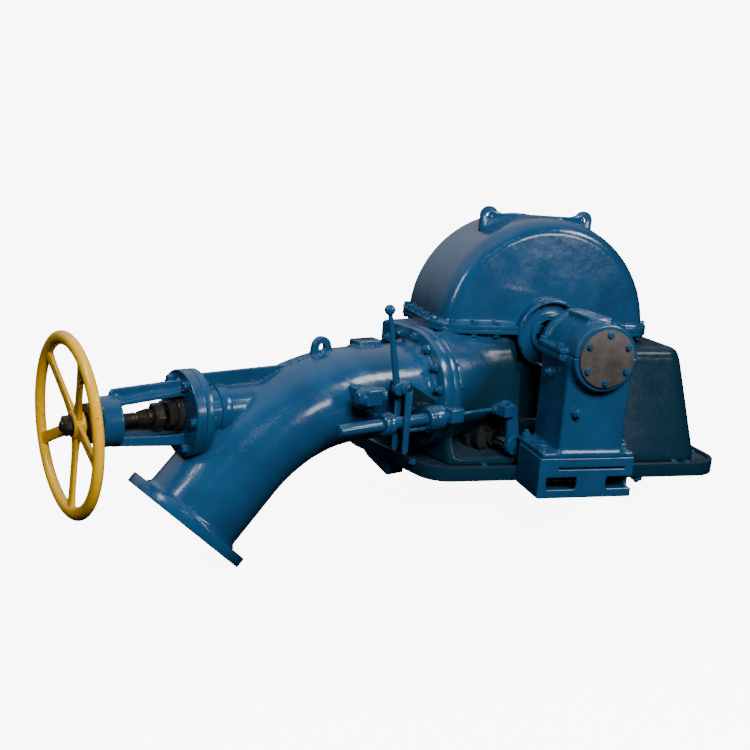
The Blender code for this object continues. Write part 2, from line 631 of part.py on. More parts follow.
def make_handwheel(line):
    hub = axis_empty("handwheel_axis", line, (HUB_U, 0.0, 0.0))
    dish = WHEEL_U - HUB_U
    rim = bmesh.new()
    sections, sides = 40, 8
    loops = []
    for i in range(sections):
        a = math.tau * i / sections
        loop = []
        for k in range(sides):
            b = math.tau * (k + 0.5) / sides
            r = WHEEL_R + RIM_R * math.cos(b)
            loop.append(rim.verts.new((dish + 0.8 * RIM_R * math.sin(b), r * math.sin(a), r * math.cos(a))))
        loops.append(loop)
    for i in range(sections):
        one, two = loops[i], loops[(i + 1) % sections]
        for k in range(sides):
            j = (k + 1) % sides
            rim.faces.new((one[k], one[j], two[j], two[k]))
    wheel = place("handwheel", rim, YELLOW, hub)
    parts = [helper(turned([(-0.016, 0.0), (-0.016, 0.040), (-0.010, 0.046), (0.012, 0.046), (0.020, 0.040),
                            (0.020, 0.0)], 24), hub)]
    for i in range(5):
        a = SPOKE_START + math.tau * i / 5
        half, wide = 0.0075, 0.015
        inner = [(-half, -wide - 0.002, 0.030), (half, -wide - 0.002, 0.030), (half, wide + 0.002, 0.030),
                 (-half, wide + 0.002, 0.030)]
        outer = [(dish - half, -wide, WHEEL_R - 0.006), (dish + half, -wide, WHEEL_R - 0.006),
                 (dish + half, wide, WHEEL_R - 0.006), (dish - half, wide, WHEEL_R - 0.006)]
        spoke = stack([inner, outer])
        bmesh.ops.transform(spoke, matrix=Matrix.Rotation(a, 4, "X"), verts=spoke.verts)
        parts.append(helper(spoke, hub))
    fuse(wheel, *parts)
    cut(wheel, helper(rod(-0.1, 0.1, 0.0257, 24), hub))
    sleeve_start = YOKE_NOSE_U[0] - HUB_U
    sleeve = turned([(-0.016, SCREW_R + 0.001), (-0.016, 0.025), (0.0205, 0.025), (0.0205, 0.030),
                     (sleeve_start - 0.034, 0.030), (sleeve_start - 0.034, 0.062), (sleeve_start - 0.006, 0.062),
                     (sleeve_start - 0.006, 0.025), (sleeve_start + 0.060, 0.025),
                     (sleeve_start + 0.060, SCREW_R + 0.001)], 24)
    place("screw_sleeve", sleeve, BLACK, hub)
    nut = turned([(-0.050, 0.0), (-0.050, 0.018), (-0.045, 0.022), (-0.0235, 0.022), (-0.0235, 0.034),
                  (-0.0163, 0.034), (-0.0163, SCREW_R + 0.001), (-0.044, SCREW_R + 0.001), (-0.044, 0.0)], 24)
    place("wheel_nut", nut, BLACK, hub)
    return hub


def make_spindle(line):
    """Screw, coupling, needle rod and needle: one train that slides along the line."""
    start = -1.630
    slide = axis_empty("needle_axis", line, (start, 0.0, 0.0))
    screw = [(-1.850, 0.0), (-1.850, SCREW_R), (-1.666, SCREW_R), (-1.666, 0.027), (-1.650, 0.027),
             (-1.650, SCREW_R), (-1.6300, SCREW_R), (-1.6300, 0.0)]
    place("adjusting_screw", turned([(u - start, r) for u, r in screw], 20), BLACK, slide)
    coupling = [(-1.6297, 0.0), (-1.6297, 0.036), (-1.5960, 0.036), (-1.5960, 0.0)]
    place("rod_coupling", turned([(u - start, r) for u, r in coupling], 6), BLACK, slide)
    needle = [(-1.5957, 0.0), (-1.5957, ROD_R), (-0.520, ROD_R), (-0.470, 0.034), (-0.430, 0.037),
              (-0.390, 0.028), (-0.355, 0.010), (-0.345, 0.0)]
    place("needle", turned([(u - start, r) for u, r in needle], 20), STEEL, slide)
    return slide


def make_guides(line):
    """Two eyes on the elbow that carry the bar, the lever's bracket plate and a stop plug."""
    lever_u, lever_w = LEVER_PIVOT
    pipe_room = helper(rod(-0.98, ELBOW_FLANGE_U - 0.032, PIPE_R + GAP, 32), line)
    bar_room = helper(rod(-2.0, 0.0, BAR_R + 0.0006, 20, "X", (0.0, GEAR_T, BAR_W)), line)
    left = place("left_guide", rod(-0.935, -0.897, 0.038, 24, "X", (0.0, GEAR_T, BAR_W), 0.04), BLUE, line)
    fuse(left, helper(block((-0.930, GEAR_T + 0.012, BAR_W - 0.018), (-0.902, -0.100, BAR_W + 0.022)), line))
    cut(left, pipe_room, bar_room)
    right = place("right_guide", rod(-0.735, -0.665, 0.044, 24, "X", (0.0, GEAR_T, BAR_W), 0.04), BLUE, line)
    arm = block((-0.722, GEAR_T + 0.012, BAR_W - 0.021), (-0.678, -0.100, BAR_W + 0.025))
    outline = [(-0.658, 0.005), (-0.690, -0.052), (-0.730, -0.052), (-0.820, 0.038), (lever_u - 0.030, lever_w - 0.022),
               (lever_u - 0.030, lever_w + 0.018), (-0.820, lever_w + 0.018)]
    plate = slab(outline, GEAR_T + 0.030, GEAR_T + 0.042, "Y")
    pin = rod(GEAR_T - 0.030, GEAR_T + 0.035, 0.011, 16, "Y", (lever_u, 0.0, lever_w))
    fuse(right, helper(arm, line), helper(plate, line), helper(pin, line))
    cut(right, pipe_room, bar_room)
    plug = place("stop_plug", rod(-1.040, -0.938, 0.029, 20, "X", (0.0, GEAR_T + 0.02, 0.062)), BLUE, line)
    fuse(plug, helper(block((-0.995, GEAR_T + 0.03, 0.047), (-0.955, -0.10, 0.078)), line))
    cut(plug, helper(swept(PIPE_R + GAP, 32, bend_path()), line))


def make_lever(line):
    """Hand lever with its knob; its fork passes in front of the guide bar."""
    lever_u, lever_w = LEVER_PIVOT
    lever = axis_empty("lever_axis", line, (lever_u, GEAR_T, lever_w))
    fork = place("hand_lever", rod(-0.026, 0.024, 0.024, 24, "Y"), BLUE, lever)
    cheek = slab([(-0.020, 0.016), (0.020, 0.016), (0.024, -0.225), (0.012, -0.238), (-0.002, -0.225)],
                 -0.0345, -0.0275, "Y")
    web = block((-0.016, -0.0345, -0.014), (0.016, -0.020, 0.012))
    grip = slab([(-0.012, 0.003), (0.012, 0.003), (-0.068, 0.262), (-0.086, 0.262)], -0.010, 0.010, "Y")
    knob = bmesh.new()
    bmesh.ops.create_uvsphere(knob, u_segments=14, v_segments=8, radius=0.018)
    bmesh.ops.translate(knob, verts=knob.verts, vec=(-0.080, 0.001, 0.271))
    fuse(fork, helper(cheek, lever), helper(web, lever), helper(grip, lever), helper(knob, lever))
    cut(fork, helper(rod(-0.1, 0.1, 0.0119, 16, "Y", turn=0.1), lever))
    return lever


def make_link(line):
    """Guide bar, threaded link and rod end: they slide together along the nozzle line."""
    start = -0.900
    slide = axis_empty("link_axis", line, (start, GEAR_T, BAR_W))
    bar = [(-1.090, 0.0), (-1.090, BAR_R), (-0.655, BAR_R), (-0.655, 0.016), (-0.632, 0.016), (-0.632, 0.026),
           (-0.562, 0.026), (-0.562, 0.0075), (-0.400, 0.0075), (-0.400, 0.0)]
    place("guide_bar", turned([(u - start, r) for u, r in bar], 20), BLUE, slide)
    eye_u = CRANK_PIN[0] - start
    end = place("rod_end", rod(-0.013, 0.013, 0.030, 20, "Y", (eye_u, 0.0, 0.0)), BLUE, slide)
    fuse(end, helper(rod(-0.3997 - start, eye_u - 0.022, 0.012, 16, turn=0.1), slide))
    cut(end, helper(rod(-0.1, 0.1, 0.0145, 20, "Y", (eye_u, 0.0, 0.0), 0.08), slide))
    return slide


def make_deflector(line):
    """Crank, shaft and deflector blade on one axis across the nozzle line, with its stuffing box."""
    crank = axis_empty("crank_axis", line, (DEFLECTOR_U, GEAR_T, DEFLECTOR_W))
    place("deflector_shaft", rod(-0.0215, 0.440, DEFLECTOR_SHAFT_R - 0.001, 20, "Y"), STEEL, crank)
    arm_u = CRANK_PIN[0] - DEFLECTOR_U
    arm_w = CRANK_PIN[1] - DEFLECTOR_W
    arm = place("crank_arm", rod(-0.048, -0.0218, 0.034, 24, "Y", turn=0.05), BLUE, crank)
    plate = slab([(-0.024, 0.004), (0.024, 0.004), (arm_u + 0.015, arm_w), (arm_u - 0.015, arm_w)],
                 -0.042, -0.024, "Y")
    head = rod(-0.041, -0.025, 0.018, 16, "Y", (arm_u, 0.0, arm_w), 0.05)
    pin = rod(-0.036, 0.013, 0.010, 12, "Y", (arm_u, 0.0, arm_w), 0.12)
    fuse(arm, helper(plate, crank), helper(head, crank), helper(pin, crank))
    blade = place("deflector", rod(0.262, 0.332, 0.034, 20, "Y", turn=0.05), STEEL, crank)
    shield = slab([(-0.014, 0.004), (0.014, 0.003), (0.050, 0.100), (0.060, 0.128), (0.014, 0.112)], 0.241, 0.303, "Y")
    fuse(blade, helper(shield, crank))
    cut(blade, helper(rod(-1.0, 1.0, DEFLECTOR_SHAFT_R - 0.0005, 20, "Y", turn=0.1), crank))
    box = place("stuffing_box", turned([(-0.175, DEFLECTOR_SHAFT_R), (-0.175, 0.036), (-0.150, 0.036),
                                        (-0.150, 0.062), (-0.060, 0.062), (-0.060, DEFLECTOR_SHAFT_R)],
                                       24, "Y", (DEFLECTOR_U, 0.0, DEFLECTOR_W)), BLUE, line)
    cut(box, helper(rod(-1.0, 0.2, CHEST_R + GAP, 40), line))
    return crank


def make_machine():
    clear_scene()
    machine = axis_empty("machine", None, (0.0, ORIGIN_BACK, 0.0))
    line = axis_empty("nozzle_line", machine, (0.0, 0.0, NOZZLE_Z))
    line.rotation_euler = (0.0, 0.0, NOZZLE_TURN)
    make_base(machine)
    make_feet(machine, line)
    make_lower_casing(machine, line)
    make_hood(machine)
    make_seals(machine)
    make_rotor(machine)
    make_bearings(machine)
    make_elbow(line)
    make_guide_tube(line)
    make_nozzle(line)
    make_yoke(line)
    make_gland(line)
    make_handwheel(line)
    make_spindle(line)
    make_guides(line)
    make_lever(line)
    make_link(line)
    make_deflector(line)
    bpy.context.view_layer.update()


make_machine()
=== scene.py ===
# %% [markdown]
# # An impulse water turbine, dressed over its frame
#
# The frame is the machine's solid model: plain solids that already turn and slide on the right axes.
# This script keeps that frame and gives each solid its cast, welded, turned or painted surface.
# Everything is in metres, in the frame's own axes: Z is up, the shaft runs along Y, and the nozzle
# line comes in from the left, turned 22 degrees towards the front.

import itertools
import math

import bmesh
import bpy
import numpy as np
from mathutils import Matrix, Vector


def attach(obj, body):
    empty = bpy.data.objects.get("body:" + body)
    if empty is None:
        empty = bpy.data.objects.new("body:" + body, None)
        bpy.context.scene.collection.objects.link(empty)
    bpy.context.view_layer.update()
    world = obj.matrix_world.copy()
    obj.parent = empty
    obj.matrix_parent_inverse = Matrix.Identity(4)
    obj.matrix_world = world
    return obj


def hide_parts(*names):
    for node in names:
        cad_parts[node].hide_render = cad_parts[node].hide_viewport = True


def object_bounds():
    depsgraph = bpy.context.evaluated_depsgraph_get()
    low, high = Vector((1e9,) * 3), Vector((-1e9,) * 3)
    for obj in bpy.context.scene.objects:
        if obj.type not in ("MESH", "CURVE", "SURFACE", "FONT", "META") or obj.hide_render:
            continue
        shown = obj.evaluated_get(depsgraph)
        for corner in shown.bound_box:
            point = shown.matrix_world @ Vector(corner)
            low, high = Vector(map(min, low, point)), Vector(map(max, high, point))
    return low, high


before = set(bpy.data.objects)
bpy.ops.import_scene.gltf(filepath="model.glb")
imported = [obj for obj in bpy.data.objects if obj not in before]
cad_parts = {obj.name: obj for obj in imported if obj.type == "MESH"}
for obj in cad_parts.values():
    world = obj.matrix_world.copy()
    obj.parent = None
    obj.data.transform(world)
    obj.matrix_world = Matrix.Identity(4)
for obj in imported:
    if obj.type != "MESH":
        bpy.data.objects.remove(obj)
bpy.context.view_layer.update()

# %% [markdown]
# ## Two places to measure from
#
# A machine like this is drawn in two frames. The casing, shaft and bearings lie square to the base.
# The nozzle, elbow and handwheel lie on one line that crosses under the shaft, so their sizes are
# simplest in coordinates along that line (u), across it to the far side (t) and up (w).
# A matrix for each frame turns such sizes into places in the scene, so no piece is ever fitted by eye.

# %% Frames and main sizes
MACHINE = Matrix.Translation((0.0, 0.410, 0.0))
NOZZLE_TURN = math.radians(22.0)
LINE = MACHINE @ Matrix.Translation((0.0, 0.0, 0.303)) @ Matrix.Rotation(NOZZLE_TURN, 4, "Z")
MID_Y = 0.040
SHAFT_Z = 0.519
PIPE_R = 0.172
BORE_R = 0.157
FLANGE_R = 0.230
GEAR_T = -0.266
BAR_W = -0.040


def line_from_machine(points):
    """Points of the machine's frame, as coordinates along the nozzle line."""
    c, s = math.cos(NOZZLE_TURN), math.sin(NOZZLE_TURN)
    x, y, z = points[:, 0], points[:, 1], points[:, 2]
    return np.stack((x * c + y * s, y * c - x * s, z - 0.303), 1)


# %% [markdown]
# ## The camera
#
# The photograph was taken from the front left, a little above the shaft, and the camera was tipped
# down by about 13 degrees and leaned by 4. The place and angles come from the machine's own straight
# lines: the shaft, the base edge and the round flanges. The lens follows from how fast sizes shrink
# with distance. A camera object gets them as one matrix, because three separate angles are easy to
# apply in the wrong order.

# %% Camera
yaw, pitch, roll = 0.2694, 0.2240, -0.0685
ahead = Vector((math.sin(yaw) * math.cos(pitch), math.cos(yaw) * math.cos(pitch), -math.sin(pitch)))
level = Vector((math.cos(yaw), -math.sin(yaw), 0.0))
drop = ahead.cross(level)
right = math.cos(roll) * level + math.sin(roll) * drop
down = -math.sin(roll) * level + math.cos(roll) * drop
lens = bpy.data.cameras.new("photo_camera")
lens.sensor_fit = "HORIZONTAL"
lens.sensor_width = 36.0
lens.lens = 43.2
lens.clip_start = 0.05
camera = bpy.data.objects.new("photo_camera", lens)
bpy.context.scene.collection.objects.link(camera)
turn = Matrix((right, -down, -ahead)).transposed().to_4x4()
camera.matrix_world = Matrix.Translation((-1.5676, -2.9855, 1.0983)) @ turn
bpy.context.scene.camera = camera
print("camera at", [round(v, 3) for v in camera.location])

# %% [markdown]
# ## Finishes
#
# The whole machine has one coat of glossy blue enamel, sprayed over rough castings, so the gloss is strong but never
# flat: the reflections wander. Two noises do that. A broad one is the casting and filler under the paint, a fine one
# is the orange peel of the spray. The colour changes only a little, with some dust where a surface faces up. A coat on
# the shader gives the wet top layer. Chips, where metal shows, come from a noise that is cut off near its top.
# Two copies of the enamel carry painted shade: one goes dark towards the machine's lower right, one is a very dark
# blue for a gusset in shadow.

# %% A small set of node helpers
def new_finish(name):
    made = bpy.data.materials.new(name)
    made.use_nodes = True
    tree = made.node_tree
    return made, tree, tree.nodes["Principled BSDF"]


def noise(tree, scale, detail=3.0, rough=0.55, stretch=None):
    """A noise over object coordinates; stretch lists the scales along X, Y and Z."""
    place = tree.nodes.new("ShaderNodeTexCoord")
    cloud = tree.nodes.new("ShaderNodeTexNoise")
    cloud.inputs["Scale"].default_value = scale
    cloud.inputs["Detail"].default_value = detail
    cloud.inputs["Roughness"].default_value = rough
    source = place.outputs["Object"]
    if stretch:
        mapping = tree.nodes.new("ShaderNodeMapping")
        mapping.inputs["Scale"].default_value = stretch
        tree.links.new(source, mapping.inputs["Vector"])
        source = mapping.outputs["Vector"]
    tree.links.new(source, cloud.inputs["Vector"])
    return cloud.outputs["Fac"]


def spread(tree, value, low, high, to_low=0.0, to_high=1.0):
    """Stretch one range of a value onto another, clamped."""
    node = tree.nodes.new("ShaderNodeMapRange")
    for socket, number in (("From Min", low), ("From Max", high), ("To Min", to_low), ("To Max", to_high)):
        node.inputs[socket].default_value = number
    tree.links.new(value, node.inputs["Value"])
    return node.outputs["Result"]


def mixed(tree, share, first, second):
    """Mix two colours; each is a tuple or a socket."""
    node = tree.nodes.new("ShaderNodeMix")
    node.data_type = "RGBA"
    tree.links.new(share, node.inputs["Factor"])
    for socket, colour in ((node.inputs[6], first), (node.inputs[7], second)):
        if isinstance(colour, tuple):
            socket.default_value = (*colour, 1.0)
        else:
            tree.links.new(colour, socket)
    return node.outputs[2]


def times(tree, first, second):
    node = tree.nodes.new("ShaderNodeMath")
    node.operation = "MULTIPLY"
    for socket, value in ((node.inputs[0], first), (node.inputs[1], second)):
        if isinstance(value, float):
            socket.default_value = value
        else:
            tree.links.new(value, socket)
    return node.outputs[0]


def low_and_right(tree):
    """Value that grows towards the machine's lower right, where the painted shade goes."""
    place = tree.nodes.new("ShaderNodeTexCoord")
    dot = tree.nodes.new("ShaderNodeVectorMath")
    dot.operation = "DOT_PRODUCT"
    dot.inputs[1].default_value = (1.0, 0.0, -0.9)
    tree.links.new(place.outputs["Object"], dot.inputs[0])
    return dot.outputs["Value"]


def facing_up(tree, low=0.75, high=0.98):
    form = tree.nodes.new("ShaderNodeNewGeometry")
    parts = tree.nodes.new("ShaderNodeSeparateXYZ")
    tree.links.new(form.outputs["Normal"], parts.inputs["Vector"])
    return spread(tree, parts.outputs["Z"], low, high)


def bumps(tree, shader, *layers):
    """Chain of bump nodes; each layer is (height socket, strength, distance)."""
    below = None
    for height, strength, distance in layers:
        node = tree.nodes.new("ShaderNodeBump")
        node.inputs["Strength"].default_value = strength
        node.inputs["Distance"].default_value = distance
        tree.links.new(height, node.inputs["Height"])
        if below is not None:
            tree.links.new(below, node.inputs["Normal"])
        below = node.outputs["Normal"]
    tree.links.new(below, shader.inputs["Normal"])


# %% Blue enamel and yellow enamel
def enamel(name, light, deep, chip_edge, chip_colour, waviness, painted_shade_zone=None):
    made, tree, skin = new_finish(name)
    broad = noise(tree, 6.5, 4.0)
    colour = mixed(tree, spread(tree, broad, 0.35, 0.68), deep, light)
    # Painted shade: towards the machine's lower right the colour is mixed into a dark grey-blue.
    if painted_shade_zone:
        where = spread(tree, low_and_right(tree), *painted_shade_zone[:2])
        colour = mixed(tree, where, colour, painted_shade_zone[2])
    dust = times(tree, facing_up(tree), spread(tree, noise(tree, 24.0, 6.0, 0.7), 0.42, 0.75, 0.02, 0.16))
    colour = mixed(tree, dust, colour, (0.20, 0.21, 0.21))
    specks = spread(tree, noise(tree, 58.0, 5.0, 0.72), chip_edge, chip_edge + 0.012)
    patch = spread(tree, noise(tree, 4.2, 2.0), 0.46, 0.60)
    chips = times(tree, specks, patch)
    colour = mixed(tree, chips, colour, chip_colour)
    tree.links.new(colour, skin.inputs["Base Color"])
    worn = spread(tree, noise(tree, 17.0, 5.0, 0.65), 0.30, 0.75, 0.15, 0.34)
    tree.links.new(worn, skin.inputs["Roughness"])
    skin.inputs["IOR"].default_value = 1.5
    skin.inputs["Coat Weight"].default_value = 0.35
    skin.inputs["Coat Roughness"].default_value = 0.07
    # In the same painted-shade zone the coat and the specular fade, so the darkened enamel shines less.
    if painted_shade_zone:
        tree.links.new(spread(tree, low_and_right(tree), *painted_shade_zone[:2], 0.35, 0.0), skin.inputs["Coat Weight"])
        tree.links.new(spread(tree, low_and_right(tree), *painted_shade_zone[:2], 0.50, 0.16), skin.inputs["Specular IOR Level"])
    bumps(tree, skin, (noise(tree, 9.0, 3.0, 0.5), waviness, 0.0045), (noise(tree, 38.0, 3.0, 0.55), 0.26, 0.0020),
          (noise(tree, 330.0, 2.0), 0.10, 0.0004))
    return made


BLUE = enamel("blue_enamel", (0.0088, 0.066, 0.160), (0.0054, 0.048, 0.124), 0.775, (0.020, 0.022, 0.024), 0.55)
TURNED_BLUE = enamel("blue_enamel_on_machined_faces", (0.0088, 0.066, 0.160), (0.0064, 0.056, 0.136), 0.74,
                     (0.030, 0.026, 0.024), 0.12)
# Blue enamel with painted shade: it goes dark towards the machine's lower right; the casing and base tray wear it.
BLUE_WITH_PAINTED_SHADE = enamel("blue_enamel_with_painted_shade", (0.0088, 0.066, 0.160), (0.0054, 0.048, 0.124), 0.775, (0.014, 0.018, 0.020), 0.55,
                   (-0.76, -0.60, (0.0058, 0.024, 0.042)))
# Painted shadow: a very dark copy of the blue enamel, for the gusset that stands in shadow.
PAINTED_SHADOW_BLUE = enamel("painted_shadow_blue_enamel", (0.0040, 0.015, 0.026), (0.0034, 0.012, 0.021), 0.775, (0.010, 0.010, 0.010), 0.30)
YELLOW = enamel("yellow_enamel", (0.97, 0.54, 0.012), (0.86, 0.44, 0.008), 0.615, (0.022, 0.020, 0.018), 0.20)
print("enamel finishes made")


# %% [markdown]
# ## Bare and darkened metal
#
# The screw, the gland and the hub's nut are oiled black steel: dark, half metallic, with rubbed
# places that shine. The machined rods are bright steel with fine rings from the lathe, a noise that
# is squeezed along the rod. The cover plates have a dull brown-grey primer, and the runner is bronze.

# %% Metals and primer
def metal(name, colour, other, roughness, metallic, ring=None, ring_strength=0.05):
    made, tree, skin = new_finish(name)
    tint = spread(tree, noise(tree, 21.0, 5.0, 0.65), 0.32, 0.70)
    tree.links.new(mixed(tree, tint, colour, other), skin.inputs["Base Color"])
    low, high = roughness
    worn = spread(tree, noise(tree, 60.0, 5.0, 0.7), 0.30, 0.72, low, high)
    tree.links.new(worn, skin.inputs["Roughness"])
    skin.inputs["Metallic"].default_value = metallic
    rings = noise(tree, 1.0, 2.0, 0.5, ring or (140.0, 140.0, 140.0))
    bumps(tree, skin, (noise(tree, 48.0, 4.0), 0.12, 0.0012), (rings, ring_strength, 0.0004))
    return made


BLACK = metal("oiled_black_steel", (0.020, 0.017, 0.014), (0.075, 0.064, 0.052), (0.20, 0.44), 0.60)
STEEL = metal("machined_steel", (0.36, 0.35, 0.33), (0.50, 0.49, 0.47), (0.20, 0.38), 1.0, (30.0, 900.0, 30.0), 0.18)
ROD_STEEL = metal("ground_rod_steel", (0.28, 0.27, 0.25), (0.44, 0.43, 0.41), (0.16, 0.32), 1.0)
BROWN = metal("brown_primer", (0.040, 0.034, 0.031), (0.082, 0.070, 0.063), (0.42, 0.66), 0.0)
BRONZE = metal("cast_bronze", (0.26, 0.16, 0.060), (0.16, 0.12, 0.055), (0.30, 0.55), 1.0)
DARK_GREY = metal("dark_grey_casting", (0.010, 0.013, 0.014), (0.020, 0.024, 0.024), (0.38, 0.60), 0.0)
print("metal finishes made")

# %% [markdown]
# ## Casting skins from distance fields
#
# Iron castings have no sharp inner corners: the pattern maker runs a fillet wherever two walls meet,
# because sharp ones crack. Booleans leave such corners sharp, and a bevel afterwards fails where
# many curved walls meet. So the castings are described by distance: each simple body is a function
# that says how far a point is from its skin. A soft minimum of two such functions is a union with a
# fillet. The skin is then one vertex for each small cell that it crosses, slid onto the exact zero.

# %% Distance fields
def soft_union(first, second, fillet):
    near = np.maximum(fillet - np.abs(first - second), 0.0)
    return np.minimum(first, second) - near * near / (4.0 * fillet)


def soft_both(first, second, fillet):
    return -soft_union(-first, -second, fillet)


def carve(body, tool, fillet):
    return -soft_union(-body, tool, fillet)


def round_bar(p, axis, centre, radius, low, high, edge=0.003):
    """Cylinder along an axis; the centre lists the two other coordinates in order."""
    a = "XYZ".index(axis)
    b, c = [i for i in range(3) if i != a]
    out = np.hypot(p[:, b] - centre[0], p[:, c] - centre[1]) - radius + edge
    end = np.abs(p[:, a] - (low + high) / 2.0) - (high - low) / 2.0 + edge
    return np.hypot(np.maximum(out, 0.0), np.maximum(end, 0.0)) + np.minimum(np.maximum(out, end), 0.0) - edge


def brick(p, low, high, edge=0.004):
    low, high = np.array(low), np.array(high)
    q = np.abs(p - (low + high) / 2.0) - (high - low) / 2.0 + edge
    return np.sqrt((np.maximum(q, 0.0) ** 2).sum(1)) + np.minimum(q.max(1), 0.0) - edge


def outline_distance(a, b, outline):
    """Signed distance to a closed outline in a plane."""
    nearest = np.full(len(a), np.inf)
    sign = np.ones(len(a))
    for (x1, y1), (x0, y0) in zip(outline, outline[-1:] + outline[:-1]):
        ex, ey = x0 - x1, y0 - y1
        wx, wy = a - x1, b - y1
        share = np.clip((wx * ex + wy * ey) / (ex * ex + ey * ey), 0.0, 1.0)
        nearest = np.minimum(nearest, (wx - ex * share) ** 2 + (wy - ey * share) ** 2)
        one, two, three = b >= y1, b < y0, ex * wy > ey * wx
        sign = np.where((one & two & three) | (~one & ~two & ~three), -sign, sign)
    return sign * np.sqrt(nearest)


def slab_field(p, outline, axis, low, high, edge=0.003):
    a = "XYZ".index(axis)
    b, c = [i for i in range(3) if i != a]
    out = outline_distance(p[:, b], p[:, c], outline) + edge
    end = np.abs(p[:, a] - (low + high) / 2.0) - (high - low) / 2.0 + edge
    return np.hypot(np.maximum(out, 0.0), np.maximum(end, 0.0)) + np.minimum(np.maximum(out, end), 0.0) - edge


def turned_frame(p, origin, angle):
    """Points seen from an origin on the nozzle line, tipped by an angle about the side axis."""
    c, s = math.cos(angle), math.sin(angle)
    u, w = p[:, 0] - origin[0], p[:, 2] - origin[1]
    return np.stack((u * c + w * s, p[:, 1], w * c - u * s), 1)


# %% Skin of a distance field
def skin_of(field, low, high, cell):
    """Points and four-sided faces of the surface where the field is zero."""
    low = np.array(low, float) - 2.0 * cell
    blocks = np.ceil((np.array(high) + 2.0 * cell - low) / (4.0 * cell)).astype(int)
    rough_axes = [low[i] + 4.0 * cell * np.arange(blocks[i] + 1) for i in range(3)]
    rough_points = np.stack(np.meshgrid(*rough_axes, indexing="ij"), -1).reshape(-1, 3)
    rough = field(rough_points).reshape(blocks + 1)
    corners = [tuple(slice(o, o + blocks[i]) for i, o in enumerate(c)) for c in itertools.product((0, 1), repeat=3)]
    near = np.min([np.abs(rough[c]) for c in corners], axis=0) < 3.7 * cell
    grow = lambda grid: grid.repeat(4, 0).repeat(4, 1).repeat(4, 2)
    fine = blocks * 4
    wanted = np.zeros(fine + 1, bool)
    for c in itertools.product((0, 1), repeat=3):
        wanted[tuple(slice(o, o + fine[i]) for i, o in enumerate(c))] |= grow(near)
    value = np.ones(fine + 1)
    value[:-1, :-1, :-1] = np.where(grow(rough[corners[0]]) < 0.0, -1.0, 1.0)
    value[wanted] = field(low + cell * np.argwhere(wanted))
    inside = value < 0.0
    total, count = np.zeros((*fine, 3)), np.zeros(fine)
    crossings = []
    for axis in range(3):
        here = tuple(slice(0, -1) if i == axis else slice(None) for i in range(3))
        there = tuple(slice(1, None) if i == axis else slice(None) for i in range(3))
        crossed = inside[here] != inside[there]
        index = np.argwhere(crossed)
        one, two = value[here][crossed], value[there][crossed]
        point = index.astype(float)
        point[:, axis] += one / (one - two)
        b, c = (axis + 1) % 3, (axis + 2) % 3
        ring = []
        for ob, oc in ((-1, -1), (0, -1), (0, 0), (-1, 0)):
            home = index.copy()
            home[:, b] += ob
            home[:, c] += oc
            ring.append(home)
            ok = ((home >= 0) & (home < fine)).all(1)
            total[tuple(home[ok].T)] += point[ok]
            count[tuple(home[ok].T)] += 1.0
        crossings.append((ring, one < 0.0))
    used = count > 0
    number = np.full(fine, -1)
    number[used] = np.arange(used.sum())
    points = low + cell * total[used] / count[used][:, None]
    faces = []
    for ring, outward in crossings:
        ok = np.all([((h >= 0) & (h < fine)).all(1) for h in ring], axis=0)
        quad = np.stack([number[tuple(h[ok].T)] for h in ring], 1)
        faces.append(np.where(outward[ok][:, None], quad, quad[:, ::-1]))
    step = cell * 0.05
    for _ in range(2):
        here = field(points)
        slope = np.stack([field(points + step * e) - field(points - step * e) for e in np.eye(3)], 1) / (2.0 * step)
        length = np.maximum((slope ** 2).sum(1), 0.2)
        move = -slope * (here / length)[:, None]
        reach = np.maximum(np.sqrt((move ** 2).sum(1)), 1e-9)
        points = points + move * np.minimum(1.0, 0.45 * cell / reach)[:, None]
    return points, np.concatenate(faces)


# %% [markdown]
# ## From shapes to pieces
#
# A piece of the scene can hold several closed shells: a casting, its machined flange, its bolts.
# Each shell is made in its own frame, moved by that frame's matrix, and gathered into one mesh.
# The finished object stays at the origin, so its finish, which reads object coordinates, never slides.

# %% Gather shells into a piece
def mesh_of(points, faces, name="shell"):
    made = bpy.data.meshes.new(name)
    made.from_pydata([tuple(p) for p in points], [], [tuple(f) for f in faces])
    made.validate()
    made.shade_smooth()
    return made


def applied(thing):
    """Plain mesh of an object with its modifiers applied; the object is removed."""
    bpy.context.view_layer.update()
    ready = thing.evaluated_get(bpy.context.evaluated_depsgraph_get())
    made = bpy.data.meshes.new_from_object(ready)
    bpy.data.objects.remove(thing)
    return made


def temporary(mesh):
    thing = bpy.data.objects.new("shaping", mesh)
    bpy.context.scene.collection.objects.link(thing)
    return thing


def thinned(mesh, most):
    """Fewer triangles where a skin is flat, down to about the given number."""
    amount = sum(len(face.vertices) - 2 for face in mesh.polygons)
    if amount <= most:
        return mesh
    thing = temporary(mesh)
    step = thing.modifiers.new("fewer", "DECIMATE")
    step.ratio = most / amount
    return applied(thing)


def cast_shell(field, low, high, cell, most=90000):
    points, faces = skin_of(field, low, high, cell * (1.0))
    return thinned(mesh_of(points, faces), most)


def softened(mesh, edge, segments=3, angle=32.0):
    """Round the edges of a machined shell, the way a file or a coat of paint does."""
    thing = temporary(mesh)
    step = thing.modifiers.new("edges", "BEVEL")
    step.width = edge
    step.segments = segments
    step.limit_method = "ANGLE"
    step.angle_limit = math.radians(angle)
    step.harden_normals = False
    made = applied(thing)
    made.shade_smooth()
    made.set_sharp_from_angle(angle=math.radians(45.0))
    return made


